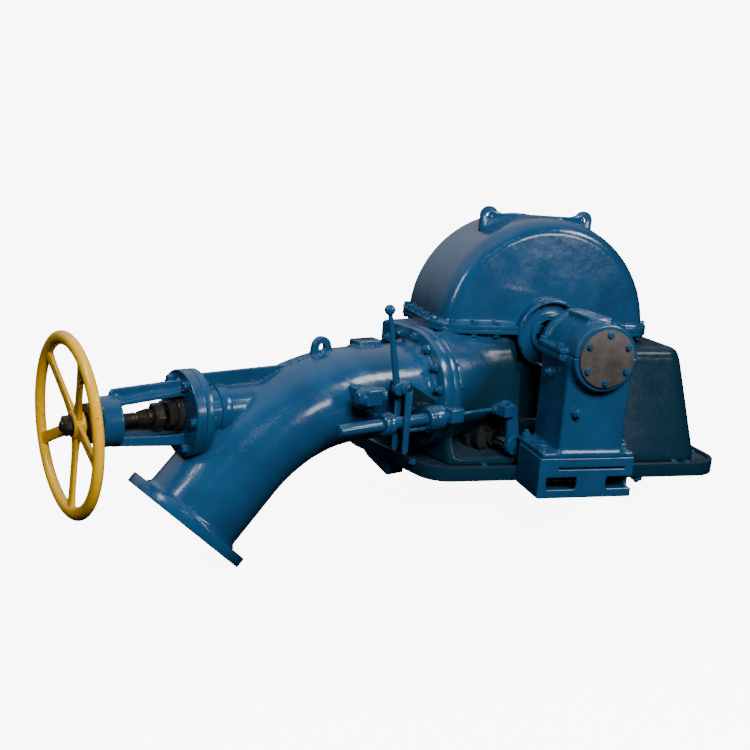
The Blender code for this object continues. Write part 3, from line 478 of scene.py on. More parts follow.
def piece(name, body, shells, nodes=()):
    """One object from (mesh, matrix, finish) shells; it rides on a body and stands for CAD nodes."""
    gathered = bmesh.new()
    finishes = []
    for mesh, matrix, finish in shells:
        if finish not in finishes:
            finishes.append(finish)
        start = len(gathered.faces)
        first_vertex = len(gathered.verts)
        gathered.from_mesh(mesh)
        gathered.verts.ensure_lookup_table()
        gathered.faces.ensure_lookup_table()
        bmesh.ops.transform(gathered, matrix=matrix, verts=gathered.verts[first_vertex:])
        for face in gathered.faces[start:]:
            face.material_index = finishes.index(finish)
    mesh = bpy.data.meshes.new(name)
    gathered.to_mesh(mesh)
    gathered.free()
    for finish in finishes:
        mesh.materials.append(finish)
    thing = bpy.data.objects.new(name, mesh)
    bpy.context.scene.collection.objects.link(thing)
    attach(thing, body)
    if nodes:
        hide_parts(*nodes)
    return thing


# %% Turned, sawn and drilled shells
def lathe(profile, axis="X", centre=(0.0, 0.0, 0.0), segments=72, edge=0.0015, smooth=32.0):
    """Closed body of revolution; profile lists (place along the axis, radius)."""
    bm = bmesh.new()
    rings = []
    for along, radius in profile:
        if radius < 1e-6:
            rings.append([bm.verts.new((along, 0.0, 0.0))])
        else:
            rings.append([bm.verts.new((along, radius * math.cos(math.tau * i / segments),
                                        radius * math.sin(math.tau * i / segments))) for i in range(segments)])
    pairs = list(zip(rings, rings[1:]))
    if len(rings[0]) > 1 or len(rings[-1]) > 1:
        pairs.append((rings[-1], rings[0]))
    for one, two in pairs:
        for i in range(segments):
            j = (i + 1) % segments
            loop = list(dict.fromkeys([one[i % len(one)], one[j % len(one)], two[j % len(two)], two[i % len(two)]]))
            if len(loop) > 2:
                bm.faces.new(loop)
    bmesh.ops.recalc_face_normals(bm, faces=bm.faces)
    way = {"X": Matrix.Identity(4), "Y": Matrix.Rotation(math.radians(90.0), 4, "Z"),
           "Z": Matrix.Rotation(math.radians(-90.0), 4, "Y")}[axis]
    bmesh.ops.transform(bm, matrix=Matrix.Translation(Vector(centre)) @ way, verts=bm.verts)
    made = bpy.data.meshes.new("turned")
    bm.to_mesh(made)
    bm.free()
    return softened(made, edge, 2, smooth) if edge else made


def plate(outline, holes, low, high, axis="Z", edge=0.0015):
    """Flat plate with drilled holes and rounded edges, between two levels of an axis."""
    sketch = bpy.data.curves.new("sketch", "CURVE")
    sketch.dimensions = "2D"
    sketch.fill_mode = "BOTH"
    sketch.extrude = (high - low) / 2.0 - edge
    sketch.bevel_depth = edge
    sketch.bevel_resolution = 1
    sketch.offset = -edge
    for loop in [outline] + holes:
        spline = sketch.splines.new("POLY")
        spline.points.add(len(loop) - 1)
        for point, (a, b) in zip(spline.points, loop):
            point.co = (a, b, 0.0, 1.0)
        spline.use_cyclic_u = True
    made = applied(temporary(sketch))
    lift = Matrix.Translation((0.0, 0.0, (low + high) / 2.0))
    way = {"Z": Matrix.Identity(4), "Y": Matrix(((1, 0, 0, 0), (0, 0, 1, 0), (0, 1, 0, 0), (0, 0, 0, 1))),
           "X": Matrix(((0, 0, 1, 0), (1, 0, 0, 0), (0, 1, 0, 0), (0, 0, 0, 1)))}[axis]
    bm = bmesh.new()
    bm.from_mesh(made)
    bmesh.ops.transform(bm, matrix=way @ lift, verts=bm.verts)
    bmesh.ops.remove_doubles(bm, verts=bm.verts, dist=1e-5)
    bmesh.ops.recalc_face_normals(bm, faces=bm.faces)
    bm.to_mesh(made)
    bm.free()
    made.shade_smooth()
    made.set_sharp_from_angle(angle=math.radians(40.0))
    return made


def circle(radius, centre=(0.0, 0.0), count=72, turn=0.0):
    return [(centre[0] + radius * math.cos(turn + math.tau * i / count),
             centre[1] + radius * math.sin(turn + math.tau * i / count)) for i in range(count)]


def rounded(points, radius, steps=6):
    """Round every corner of a convex outline."""
    out = []
    for i, corner in enumerate(points):
        here = Vector(corner)
        back = (Vector(points[i - 1]) - here).normalized()
        ahead_way = (Vector(points[(i + 1) % len(points)]) - here).normalized()
        half = math.acos(max(-1.0, min(1.0, back.dot(ahead_way)))) / 2.0
        centre = here + (back + ahead_way).normalized() * radius / math.sin(half)
        start = here + back * radius / math.tan(half) - centre
        sweep = start.angle_signed(here + ahead_way * radius / math.tan(half) - centre)
        out += [tuple(centre + Matrix.Rotation(-sweep * k / steps, 2) @ start) for k in range(steps + 1)]
    return out


def box_shell(low, high, edge=0.002):
    outline = [(low[0], low[1]), (high[0], low[1]), (high[0], high[1]), (low[0], high[1])]
    bm = bmesh.new()
    floor = [bm.verts.new((a, b, low[2])) for a, b in outline]
    top = [bm.verts.new((a, b, high[2])) for a, b in outline]
    bm.faces.new(floor[::-1])
    bm.faces.new(top)
    for i in range(4):
        bm.faces.new((floor[i], floor[(i + 1) % 4], top[(i + 1) % 4], top[i]))
    made = bpy.data.meshes.new("block")
    bm.to_mesh(made)
    bm.free()
    return softened(made, edge, 3)


# %% [markdown]
# ## Fasteners by Geometry Nodes
#
# Dozens of bolts hold the machine together, all of a few kinds, and each stands square on its face
# but is turned by chance, as the fitter's spanner left it. A small tree does this: it takes a cloud
# of points that carry an aim, a size and nothing else, sets one modelled fastener on each, lines it
# up with the aim, turns it by a seeded random angle, and makes the result real. One change of the
# pattern bolt changes all of them.

# %% Pattern fasteners
def pattern_mesh(name, rings, sides=6, top=True):
    """Stack of rings (height, radius, sides turned) closed at both ends; used as a pattern only."""
    bm = bmesh.new()
    loops = []
    for height, radius in rings:
        loops.append([bm.verts.new((radius * math.cos(math.tau * i / sides), radius * math.sin(math.tau * i / sides),
                                    height)) for i in range(sides)])
    for one, two in zip(loops, loops[1:]):
        for i in range(sides):
            bm.faces.new((one[i], one[(i + 1) % sides], two[(i + 1) % sides], two[i]))
    bm.faces.new(loops[0][::-1])
    bm.faces.new(loops[-1])
    made = bpy.data.meshes.new(name)
    bm.to_mesh(made)
    bm.free()
    return made


def pattern_object(name, meshes):
    """Unit fastener, one metre across its corners, standing on z = 0."""
    bm = bmesh.new()
    for mesh in meshes:
        bm.from_mesh(mesh)
    made = bpy.data.meshes.new(name)
    bm.to_mesh(made)
    bm.free()
    made.shade_smooth()
    made.set_sharp_from_angle(angle=math.radians(28.0))
    return bpy.data.objects.new(name, made)


washer = pattern_mesh("washer", [(-0.05, 0.60), (0.08, 0.60), (0.10, 0.58)], 20)
head = pattern_mesh("head", [(0.10, 0.485), (0.12, 0.50), (0.50, 0.50), (0.56, 0.465), (0.585, 0.43)])
stud = pattern_mesh("stud", [(0.50, 0.27), (0.86, 0.27), (0.92, 0.22)], 12)
bolt_pattern = pattern_object("bolt_pattern", [washer, head])
nut_pattern = pattern_object("nut_pattern", [washer, head, stud])
print("fastener patterns made")


# %% The fastener tree
def inputs_of(tree, wanted):
    for label, kind in wanted:
        tree.interface.new_socket(label, in_out="INPUT", socket_type=kind)
    tree.interface.new_socket("Geometry", in_out="OUTPUT", socket_type="NodeSocketGeometry")
    return tree.nodes.new("NodeGroupInput"), tree.nodes.new("NodeGroupOutput")


def finish_tree(tree, source, start, end):
    """Realize, smooth nothing, set the finish, and hand the geometry out."""
    real = tree.nodes.new("GeometryNodeRealizeInstances")
    coat = tree.nodes.new("GeometryNodeSetMaterial")
    tree.links.new(source, real.inputs[0])
    tree.links.new(real.outputs[0], coat.inputs["Geometry"])
    tree.links.new(start.outputs["Finish"], coat.inputs["Material"])
    tree.links.new(coat.outputs["Geometry"], end.inputs[0])


def fastener_tree():
    tree = bpy.data.node_groups.new("fasteners_on_points", "GeometryNodeTree")
    start, end = inputs_of(tree, [("Geometry", "NodeSocketGeometry"), ("Fastener", "NodeSocketObject"),
                                  ("Size", "NodeSocketFloat"), ("Seed", "NodeSocketInt"),
                                  ("Finish", "NodeSocketMaterial")])
    aim = tree.nodes.new("GeometryNodeInputNamedAttribute")
    aim.data_type = "FLOAT_VECTOR"
    aim.inputs["Name"].default_value = "aim"
    align = tree.nodes.new("FunctionNodeAlignRotationToVector")
    align.axis = "Z"
    tree.links.new(aim.outputs[0], align.inputs["Vector"])
    chance = tree.nodes.new("FunctionNodeRandomValue")
    chance.data_type = "FLOAT_VECTOR"
    chance.inputs[0].default_value = (0.0, 0.0, 0.0)
    chance.inputs[1].default_value = (0.0, 0.0, math.tau)
    tree.links.new(start.outputs["Seed"], chance.inputs["Seed"])
    spin = tree.nodes.new("FunctionNodeEulerToRotation")
    tree.links.new(chance.outputs[0], spin.inputs[0])
    turned_by = tree.nodes.new("FunctionNodeRotateRotation")
    turned_by.rotation_space = "LOCAL"
    tree.links.new(align.outputs[0], turned_by.inputs[0])
    tree.links.new(spin.outputs[0], turned_by.inputs[1])
    which = tree.nodes.new("GeometryNodeObjectInfo")
    tree.links.new(start.outputs["Fastener"], which.inputs["Object"])
    setting = tree.nodes.new("GeometryNodeInstanceOnPoints")
    tree.links.new(start.outputs["Geometry"], setting.inputs["Points"])
    tree.links.new(which.outputs["Geometry"], setting.inputs["Instance"])
    tree.links.new(turned_by.outputs[0], setting.inputs["Rotation"])
    tree.links.new(start.outputs["Size"], setting.inputs["Scale"])
    finish_tree(tree, setting.outputs[0], start, end)
    return tree


def run_tree(tree, mesh, values):
    """Plain mesh that a tree makes from a mesh, with its inputs set by their identifiers."""
    thing = temporary(mesh)
    step = thing.modifiers.new("tree", "NODES")
    step.node_group = tree
    for item in tree.interface.items_tree:
        if item.item_type == "SOCKET" and item.in_out == "INPUT" and item.name in values:
            step[item.identifier] = values[item.name]
    return applied(thing)


FASTENERS = fastener_tree()


def fasteners(places, size, seed, pattern=None, finish=None):
    """Fasteners at (point, aim) places; size is the width over the head's corners."""
    cloud = bpy.data.meshes.new("points")
    cloud.from_pydata([tuple(p) for p, _ in places], [], [])
    aims = cloud.attributes.new("aim", "FLOAT_VECTOR", "POINT")
    aims.data.foreach_set("vector", [v for _, a in places for v in a])
    finish = finish or BLUE
    return run_tree(FASTENERS, cloud, {"Fastener": pattern or bolt_pattern, "Size": size, "Seed": seed,
                                       "Finish": finish})


def around(axis, at, radius, count, turn=0.0, centre=(0.0, 0.0), aim=1.0):
    """Places on a bolt circle about an axis; aim is the side that the heads show."""
    a = "XYZ".index(axis)
    b, c = [i for i in range(3) if i != a]
    out = []
    for i in range(count):
        point, way = [0.0] * 3, [0.0] * 3
        angle = turn + math.tau * i / count
        point[a], point[b], point[c] = at, centre[0] + radius * math.cos(angle), centre[1] + radius * math.sin(angle)
        way[a] = aim
        out.append((point, way))
    return out


print("fastener tree made")

# %% [markdown]
# ## Weld beads
#
# Ribs, pads and collars are welded on, and a hand-laid bead is never even: it swells and ripples at
# every stop of the rod. A tree turns a path into such a bead. It resamples the path finely, gives
# each point a radius from a noise plus a short ripple, and sweeps a small round along it.

# %% The weld bead tree
def bead_tree():
    tree = bpy.data.node_groups.new("weld_bead_on_path", "GeometryNodeTree")
    start, end = inputs_of(tree, [("Geometry", "NodeSocketGeometry"), ("Bead Radius", "NodeSocketFloat"),
                                  ("Unevenness", "NodeSocketFloat"), ("Seed", "NodeSocketInt"),
                                  ("Finish", "NodeSocketMaterial")])
    path = tree.nodes.new("GeometryNodeMeshToCurve")
    tree.links.new(start.outputs["Geometry"], path.inputs[0])
    fine = tree.nodes.new("GeometryNodeResampleCurve")
    fine.mode = "LENGTH"
    fine.inputs["Length"].default_value = 0.0022
    tree.links.new(path.outputs[0], fine.inputs["Curve"])
    cloud = tree.nodes.new("ShaderNodeTexNoise")
    cloud.noise_dimensions = "4D"
    cloud.inputs["Scale"].default_value = 210.0
    cloud.inputs["Detail"].default_value = 2.0
    tree.links.new(start.outputs["Seed"], cloud.inputs["W"])
    change = tree.nodes.new("ShaderNodeMath")
    change.operation = "SUBTRACT"
    change.inputs[1].default_value = 0.5
    tree.links.new(cloud.outputs["Fac"], change.inputs[0])
    much = tree.nodes.new("ShaderNodeMath")
    much.operation = "MULTIPLY_ADD"
    tree.links.new(change.outputs[0], much.inputs[0])
    tree.links.new(start.outputs["Unevenness"], much.inputs[1])
    much.inputs[2].default_value = 1.0
    thick = tree.nodes.new("ShaderNodeMath")
    thick.operation = "MULTIPLY"
    tree.links.new(much.outputs[0], thick.inputs[0])
    tree.links.new(start.outputs["Bead Radius"], thick.inputs[1])
    round_shape = tree.nodes.new("GeometryNodeCurvePrimitiveCircle")
    round_shape.inputs["Resolution"].default_value = 7
    round_shape.inputs["Radius"].default_value = 1.0
    sweep = tree.nodes.new("GeometryNodeCurveToMesh")
    sweep.inputs["Fill Caps"].default_value = True
    tree.links.new(fine.outputs[0], sweep.inputs["Curve"])
    tree.links.new(round_shape.outputs[0], sweep.inputs["Profile Curve"])
    if "Scale" in sweep.inputs:
        tree.links.new(thick.outputs[0], sweep.inputs["Scale"])
    else:
        radius = tree.nodes.new("GeometryNodeSetCurveRadius")
        tree.links.new(fine.outputs[0], radius.inputs["Curve"])
        tree.links.new(thick.outputs[0], radius.inputs["Radius"])
        tree.links.new(radius.outputs[0], sweep.inputs["Curve"])
    finish_tree(tree, sweep.outputs[0], start, end)
    return tree


BEADS = bead_tree()


def bead(paths, radius, seed, uneven=1.6, closed=False):
    """Weld beads along lists of points."""
    points, edges = [], []
    for path in paths:
        first = len(points)
        points += [tuple(p) for p in path]
        edges += [(first + i, first + i + 1) for i in range(len(path) - 1)]
        if closed:
            edges.append((first + len(path) - 1, first))
    lines = bpy.data.meshes.new("paths")
    lines.from_pydata(points, edges, [])
    made = run_tree(BEADS, lines, {"Bead Radius": radius, "Unevenness": uneven, "Seed": seed, "Finish": BLUE})
    made.shade_smooth()
    return made


def ring_path(axis, at, radius, centre=(0.0, 0.0), count=72, sweep=math.tau, turn=0.0):
    a = "XYZ".index(axis)
    b, c = [i for i in range(3) if i != a]
    out = []
    for i in range(count):
        point = [0.0] * 3
        angle = turn + sweep * i / count
        point[a], point[b], point[c] = at, centre[0] + radius * math.cos(angle), centre[1] + radius * math.sin(angle)
        out.append(point)
    return out


print("weld bead tree made")

# %% [markdown]
# ## Screw threads
#
# A thread is a ridge that climbs a rod by its pitch each turn. Cutting one with Booleans is slow and
# fragile. A tree makes it as it is: a spiral of the right radius and pitch, swept with a small
# three-sided profile, laid over a plain core.

# %% The thread tree
def thread_tree():
    tree = bpy.data.node_groups.new("thread_on_rod", "GeometryNodeTree")
    start, end = inputs_of(tree, [("Geometry", "NodeSocketGeometry"), ("Core Radius", "NodeSocketFloat"),
                                  ("Pitch", "NodeSocketFloat"), ("Length", "NodeSocketFloat"),
                                  ("Finish", "NodeSocketMaterial")])
    turns = tree.nodes.new("ShaderNodeMath")
    turns.operation = "DIVIDE"
    tree.links.new(start.outputs["Length"], turns.inputs[0])
    tree.links.new(start.outputs["Pitch"], turns.inputs[1])
    coil = tree.nodes.new("GeometryNodeCurveSpiral")
    coil.inputs["Resolution"].default_value = 18
    for label in ("Start Radius", "End Radius"):
        tree.links.new(start.outputs["Core Radius"], coil.inputs[label])
    tree.links.new(turns.outputs[0], coil.inputs["Rotations"])
    tree.links.new(start.outputs["Length"], coil.inputs["Height"])
    ridge = tree.nodes.new("GeometryNodeCurvePrimitiveCircle")
    ridge.inputs["Resolution"].default_value = 4
    half = tree.nodes.new("ShaderNodeMath")
    half.operation = "MULTIPLY"
    half.inputs[1].default_value = 0.42
    tree.links.new(start.outputs["Pitch"], half.inputs[0])
    tree.links.new(half.outputs[0], ridge.inputs["Radius"])
    sweep = tree.nodes.new("GeometryNodeCurveToMesh")
    sweep.inputs["Fill Caps"].default_value = True
    tree.links.new(coil.outputs[0], sweep.inputs["Curve"])
    tree.links.new(ridge.outputs[0], sweep.inputs["Profile Curve"])
    finish_tree(tree, sweep.outputs[0], start, end)
    return tree


THREADS = thread_tree()


def thread(core, pitch, low, high, finish, centre=(0.0, 0.0)):
    """Thread ridge along the X axis of a frame between two places."""
    seed_point = bpy.data.meshes.new("start")
    seed_point.from_pydata([(0.0, 0.0, 0.0)], [], [])
    made = run_tree(THREADS, seed_point, {"Core Radius": core, "Pitch": pitch, "Length": high - low, "Finish": finish})
    made.transform(Matrix.Translation((low, centre[0], centre[1])) @ Matrix.Rotation(math.radians(90.0), 4, "Y"))
    made.shade_flat()
    return made


print("thread tree made")

# %% [markdown]
# ## Base flange
#
# The base is a shallow tray: a thick plate with a raised lip, which catches drips, cut open under
# the casing. It is an outline swept through six levels, outside, lip, floor and opening, so it is
# one closed ring of faces, and a bevel gives the cast edge. The left end lies square to the nozzle.

# %% Base flange
BASE_TOP, BASE_FLOOR, LIP = 0.055, 0.043, 0.018


def on_line(u, t):
    c, s = math.cos(NOZZLE_TURN), math.sin(NOZZLE_TURN)
    return (u * c - t * s, u * s + t * c)


def left_cut(u, y):
    return (u - y * math.sin(NOZZLE_TURN)) / math.cos(NOZZLE_TURN)


def base_outline(inset, corner):
    front, back, u = MID_Y - 0.492 + inset, MID_Y + 0.492 - inset, -0.645 + inset
    return rounded([(left_cut(u, front), front), (0.715 - inset, front), (0.715 - inset, back),
                    (-0.545 + inset, back), on_line(u, 0.300 - inset * 0.7)], corner, 8)


def ring_of_levels(levels):
    """Closed ring from outlines of equal count at their levels, joined back to the first."""
    bm = bmesh.new()
    loops = [[bm.verts.new((x, y, z)) for x, y in outline] for outline, z in levels]
    for one, two in zip(loops, loops[1:] + loops[:1]):
        for i in range(len(one)):
            bm.faces.new((one[i], one[(i + 1) % len(one)], two[(i + 1) % len(one)], two[i]))
    bmesh.ops.recalc_face_normals(bm, faces=bm.faces)
    made = bpy.data.meshes.new("levels")
    bm.to_mesh(made)
    bm.free()
    return made


opening = rounded([(left_cut(-0.51, -0.36), -0.36), (0.62, -0.36), (0.62, 0.44), (-0.47, 0.44), on_line(-0.51, 0.225)],
                  0.06, 8)
outside, lip_edge = base_outline(0.0, 0.120), base_outline(LIP, 0.102)
tray = ring_of_levels([(outside, 0.0), (outside, BASE_TOP), (lip_edge, BASE_TOP), (lip_edge, BASE_FLOOR),
                       (opening, BASE_FLOOR), (opening, 0.0)])
tray = softened(tray, 0.003, 3, 40.0)
anchors = [((x, y, BASE_FLOOR), (0.0, 0.0, 1.0)) for x, y in
           ((0.502, -0.423), (0.559, -0.427), (0.664, -0.300), (0.664, 0.040), (0.664, 0.380), (0.560, 0.480), (-0.470, 0.480),
            (-0.560, -0.350), (-0.300, -0.415), (0.300, -0.415))]
# The tray's enamel carries painted shade towards the lower right.
piece("base_tray", "casing", [(tray, MACHINE, BLUE_WITH_PAINTED_SHADE), (fasteners(anchors, 0.026, 3), MACHINE, BLUE)],
      ["base_flange"])

# %% [markdown]
# ## Lower casing
#
# The casing is a tapered box welded to a round nozzle chest, with a shoulder along the chest's far
# side, a riser under the split flange and a flat recess for each shaft seal. All of these meet in
# soft fillets under the paint. One distance field holds them all. The same field, moved in by the
# wall's thickness and taken away, makes the inside, so wall and skin can never disagree.

# %% Lower casing skin
WALL = 0.012
CHEST_R, CHEST_END, MATE_BACK, JOINT_U = 0.212, -0.200, -0.544, -0.571
SPLIT = (0.475, 0.283, 0.150)


def rounded_rectangle(p, middle, half_x, half_y, corner):
    qx = np.abs(p[:, 0] - middle[0]) - half_x + corner
    qy = np.abs(p[:, 1] - middle[1]) - half_y + corner
    return np.hypot(np.maximum(qx, 0.0), np.maximum(qy, 0.0)) + np.minimum(np.maximum(qx, qy), 0.0) - corner


def casing_body(p):
    share = np.clip((p[:, 2] - 0.063) / 0.375, 0.0, 1.0)
    left, far = -0.500 + 0.045 * share, 0.648 - 0.043 * share
    half_y, corner = 0.430 - 0.135 * share, 0.090 - 0.020 * share
    sides = 0.93 * rounded_rectangle(p, ((left + far) / 2.0, MID_Y), (far - left) / 2.0, half_y, corner)
    body = soft_both(sides, p[:, 2] - 0.474, 0.060)
    riser = rounded_rectangle(p, (0.0, MID_Y), SPLIT[0] - 0.028, SPLIT[1] - 0.028, SPLIT[2] - 0.028)
    body = soft_union(body, soft_both(riser, p[:, 2] - 0.520, 0.004), 0.030)
    q = line_from_machine(p)
    body = soft_union(body, brick(q, (-0.62, -0.05, -0.6), (-0.20, 0.268, 0.2145), 0.020), 0.030)
    body = carve(body, brick(q, (-0.515, -0.50, -0.232), (-0.170, -0.070, -0.092), 0.020), 0.014)
    body = carve(body, brick(p, (-0.135, -0.60, 0.165), (0.160, MID_Y - 0.247, 0.60), 0.012), 0.012)
    body = soft_both(body, MATE_BACK - q[:, 0], 0.008)
    for side in (-1.0, 1.0):
        low, high = sorted((MID_Y + side * 0.247, MID_Y + side * 0.847))
        body = carve(body, brick(p, (-0.160, low, 0.365), (0.160, high, 0.60), 0.010), 0.010)
    chest = round_bar(q, "X", (0.0, 0.0), CHEST_R, MATE_BACK - 0.004, CHEST_END, 0.030)
    return soft_union(body, chest, 0.040)


def casing_skin(p):
    body = casing_body(p)
    shell = np.maximum(body, -(body + WALL))
    well = rounded_rectangle(p, (0.0, MID_Y), SPLIT[0] - 0.040, SPLIT[1] - 0.040, SPLIT[2] - 0.040)
    shell = np.maximum(shell, -np.maximum(well, 0.40 - p[:, 2]))
    shell = np.maximum(shell, BASE_FLOOR + 0.0003 - p[:, 2])
    shell = np.maximum(shell, -round_bar(p, "Y", (0.0, SHAFT_Z), 0.050, -0.6, 0.6))
    q = line_from_machine(p)
    shell = np.maximum(shell, -round_bar(q, "X", (0.0, 0.0), BORE_R, -1.0, -0.44))
    return np.maximum(shell, p[:, 2] - 0.5185)


casing_shell = cast_shell(casing_skin, (-0.72, -0.46, 0.03), (0.67, 0.50, 0.53), 0.0066, 134000)

# %% [markdown]
# The machined flanges keep crisp edges, so they are made apart from the casting and set into it.
# The split flange has a notch where the seal housings stand, and its bolts run all round at an even
# pitch. Their places are found by walking the flange's own outline, so they follow its corners.

# %% Split flange and its bolts
def split_outline(inset):
    half_x, half_y = SPLIT[0] - inset, SPLIT[1] - inset
    corners = [(-half_x, MID_Y - half_y), (half_x, MID_Y - half_y), (half_x, MID_Y + half_y), (-half_x, MID_Y + half_y)]
    return rounded(corners, SPLIT[2] - inset, 10)


def notched(outline, half, depth):
    """The outline with a square notch at the middle of its front and back sides."""
    out = []
    for i, (x, y) in enumerate(outline):
        out.append((x, y))
        x2, y2 = outline[(i + 1) % len(outline)]
        if abs(y2 - y) < 1e-6 and x * x2 < 0.0:
            way = 1.0 if x2 > x else -1.0
            inner = MID_Y + math.copysign(depth, y - MID_Y)
            out += [(-way * half, y), (-way * half, inner), (way * half, inner), (way * half, y)]
    return out


def walk(outline, spacing):
    """Even places along a closed outline."""
    loop = [Vector(p) for p in outline] + [Vector(outline[0])]
    lengths = [(b - a).length for a, b in zip(loop, loop[1:])]
    count = round(sum(lengths) / spacing)
    out = []
    for k in range(count):
        rest = sum(lengths) * (k + 0.5) / count
        for a, b, length in zip(loop, loop[1:], lengths):
            if rest <= length:
                out.append(tuple(a.lerp(b, rest / length)))
                break
            rest -= length
    return out


ring_outline = notched(split_outline(0.0), 0.1385, 0.2474)
inner_edge = split_outline(0.041)
lower_split = plate(ring_outline, [inner_edge], 0.5160, 0.5318, "Z", 0.0016)
split_places = [p for p in walk(split_outline(0.017), 0.088) if abs(p[0]) > 0.175 or abs(p[1] - MID_Y) < 0.2]
split_bolts = [((x, y, 0.5488), (0.0, 0.0, 1.0)) for x, y in split_places]
split_nuts = [((x, y, 0.5162), (0.0, 0.0, -1.0)) for x, y in split_places]
mate = lathe([(JOINT_U + 0.0004, BORE_R), (JOINT_U + 0.0004, FLANGE_R), (MATE_BACK + 0.003, FLANGE_R),
              (MATE_BACK + 0.003, BORE_R)], "X", segments=96, edge=0.0016)
flange_turn = math.radians(11.25)
mate_nuts = fasteners(around("X", MATE_BACK + 0.003, 0.207, 16, flange_turn), 0.031, 11, nut_pattern)
# The casing shell's enamel carries painted shade towards the lower right.
piece("lower_casing_dressed", "casing",
      [(casing_shell, MACHINE, BLUE_WITH_PAINTED_SHADE), (lower_split, MACHINE, TURNED_BLUE), (mate, LINE, TURNED_BLUE),
       (mate_nuts, LINE, BLUE), (fasteners(split_nuts, 0.027, 13), MACHINE, BLUE)], ["lower_casing"])

# %% [markdown]
# ## Hood
#
# The hood is half a drum over the runner with rolled edges, a rib across its top and two lifting
# ears. The drum follows one rule, a radius that falls off along an ellipse towards each face, so a
# field of two numbers, distance from the shaft line and along it, gives its skin, and the inside
# is the same skin moved in. The rib is a drilled plate, because its eyes are crisp round holes.

# %% Hood skin
def drum_field(p):
    along = np.abs(p[:, 1] - MID_Y)
    out = np.hypot(p[:, 0], p[:, 2] - SHAFT_Z)
    edge_y, edge_r = (along - 0.1586) / 0.0884, (out - 0.381) / 0.0598
    flat = np.maximum(along - 0.247, out - 0.4408)
    far = np.hypot(edge_y, edge_r)
    slope = np.maximum(np.hypot(edge_y / 0.0884, edge_r / 0.0598), 1e-9)
    return np.where((edge_y > 0.0) & (edge_r > 0.0), (far - 1.0) * far / slope, flat)


def hood_skin(p):
    drum = drum_field(p)
    foot = rounded_rectangle(p, (0.0, MID_Y), SPLIT[0] - 0.002, SPLIT[1] - 0.002, SPLIT[2])
    foot = soft_both(foot, p[:, 2] - 0.5480, 0.002)
    rib = brick(p, (-0.21, -0.0075, 0.80), (0.21, 0.0075, 0.9625), 0.002)
    outer = soft_union(soft_union(drum, foot, 0.020), rib, 0.010)
    shell = np.maximum(outer, -(drum + WALL))
    shell = np.maximum(shell, 0.5335 - p[:, 2])
    room = np.maximum(round_bar(p, "Y", (0.0, SHAFT_Z), 0.1376, -1.0, 1.0), 0.2473 - np.abs(p[:, 1] - MID_Y))
    shell = np.maximum(shell, -room)
    return np.maximum(shell, -round_bar(p, "Y", (0.0, SHAFT_Z), 0.050, -0.6, 0.6))


hood_shell = cast_shell(hood_skin, (-0.49, -0.26, 0.52), (0.49, 0.34, 0.97), 0.0060, 116000)
upper_split = plate(ring_outline, [inner_edge], 0.5325, 0.5490, "Z", 0.0016)
ear_x, ear_z, ear_r = 0.206, 0.951, 0.038
rib_outline = [(-ear_x - ear_r, ear_z - 0.100), (-ear_x - ear_r + 0.001, ear_z - 0.004)]
rib_outline += [(-ear_x + ear_r * math.cos(a), ear_z + ear_r * math.sin(a))
                for a in (math.radians(175.0 - 13.0 * k) for k in range(12))]
rib_outline += [(-ear_x + ear_r + 0.008, 0.9655), (-ear_x + ear_r + 0.020, 0.963)]
rib_outline += [(-x, z) for x, z in reversed(rib_outline)]
rib_outline += [(ear_x - 0.02, ear_z - 0.14), (-ear_x + 0.02, ear_z - 0.14)]
rib = plate(rib_outline, [circle(0.012, (side * ear_x, ear_z), 28) for side in (-1.0, 1.0)], -0.008, 0.008, "Y", 0.002)
rib_seams = [[(x, side * 0.0085, SHAFT_Z + math.sqrt(0.4408 ** 2 - x * x) + 0.0005)
              for x in np.linspace(-0.238, 0.238, 60)] for side in (-1.0, 1.0)]
piece("hood_dressed", "casing",
      [(hood_shell, MACHINE, BLUE), (upper_split, MACHINE, TURNED_BLUE), (rib, MACHINE, BLUE),
       (bead(rib_seams, 0.0032, 21), MACHINE, BLUE), (fasteners(split_bolts, 0.029, 22), MACHINE, BLUE)],
      ["hood"])

# %% [markdown]
# ## Shaft seals
#
# Where the shaft leaves the casing, a turned housing half sunk in the flat recess holds the packing.
# It is a body of revolution, so a lathe profile says all of it: outer ring, groove and inner nose.

# %% Seal housings
for name, side in (("front", -1.0), ("rear", 1.0)):
    near = MID_Y + side * 0.2476
    profile = [(near, 0.060), (near, 0.1370), (near + side * 0.034, 0.1370), (near + side * 0.0394, 0.1335),
               (near + side * 0.0394, 0.124), (near + side * 0.015, 0.122), (near + side * 0.015, 0.080),
               (near + side * 0.0324, 0.078), (near + side * 0.0324, 0.060)]
    ring = lathe(profile, "Y", (0.0, 0.0, SHAFT_Z), 96, 0.0012)
    screws = fasteners(around("Y", near + side * 0.0395, 0.1303, 8, math.radians(22.5), (0.0, SHAFT_Z), side), 0.011, 31)
    piece(name + "_seal_dressed", "casing", [(ring, MACHINE, BLUE), (screws, MACHINE, BLUE)],
          [name + "_seal_housing"])

# %% [markdown]
# ## Bearings
#
# Each pedestal bearing stands on a bracket bolted to the base: a cast column with a wide foot, half
# a barrel, and a cap with wings, a ridge and a collar. Front and rear are the same casting turned
# round, so one field serves both: it first folds a point to the side that it is on. The cap meets
# the pedestal in a fine line, which is the true joint face of the two halves.

# %% Brackets
def folded(p, side):
    """Points with their Y counted outward from the machine's middle, on one side."""
    return np.stack((p[:, 0], side * (p[:, 1] - MID_Y), p[:, 2]), 1)


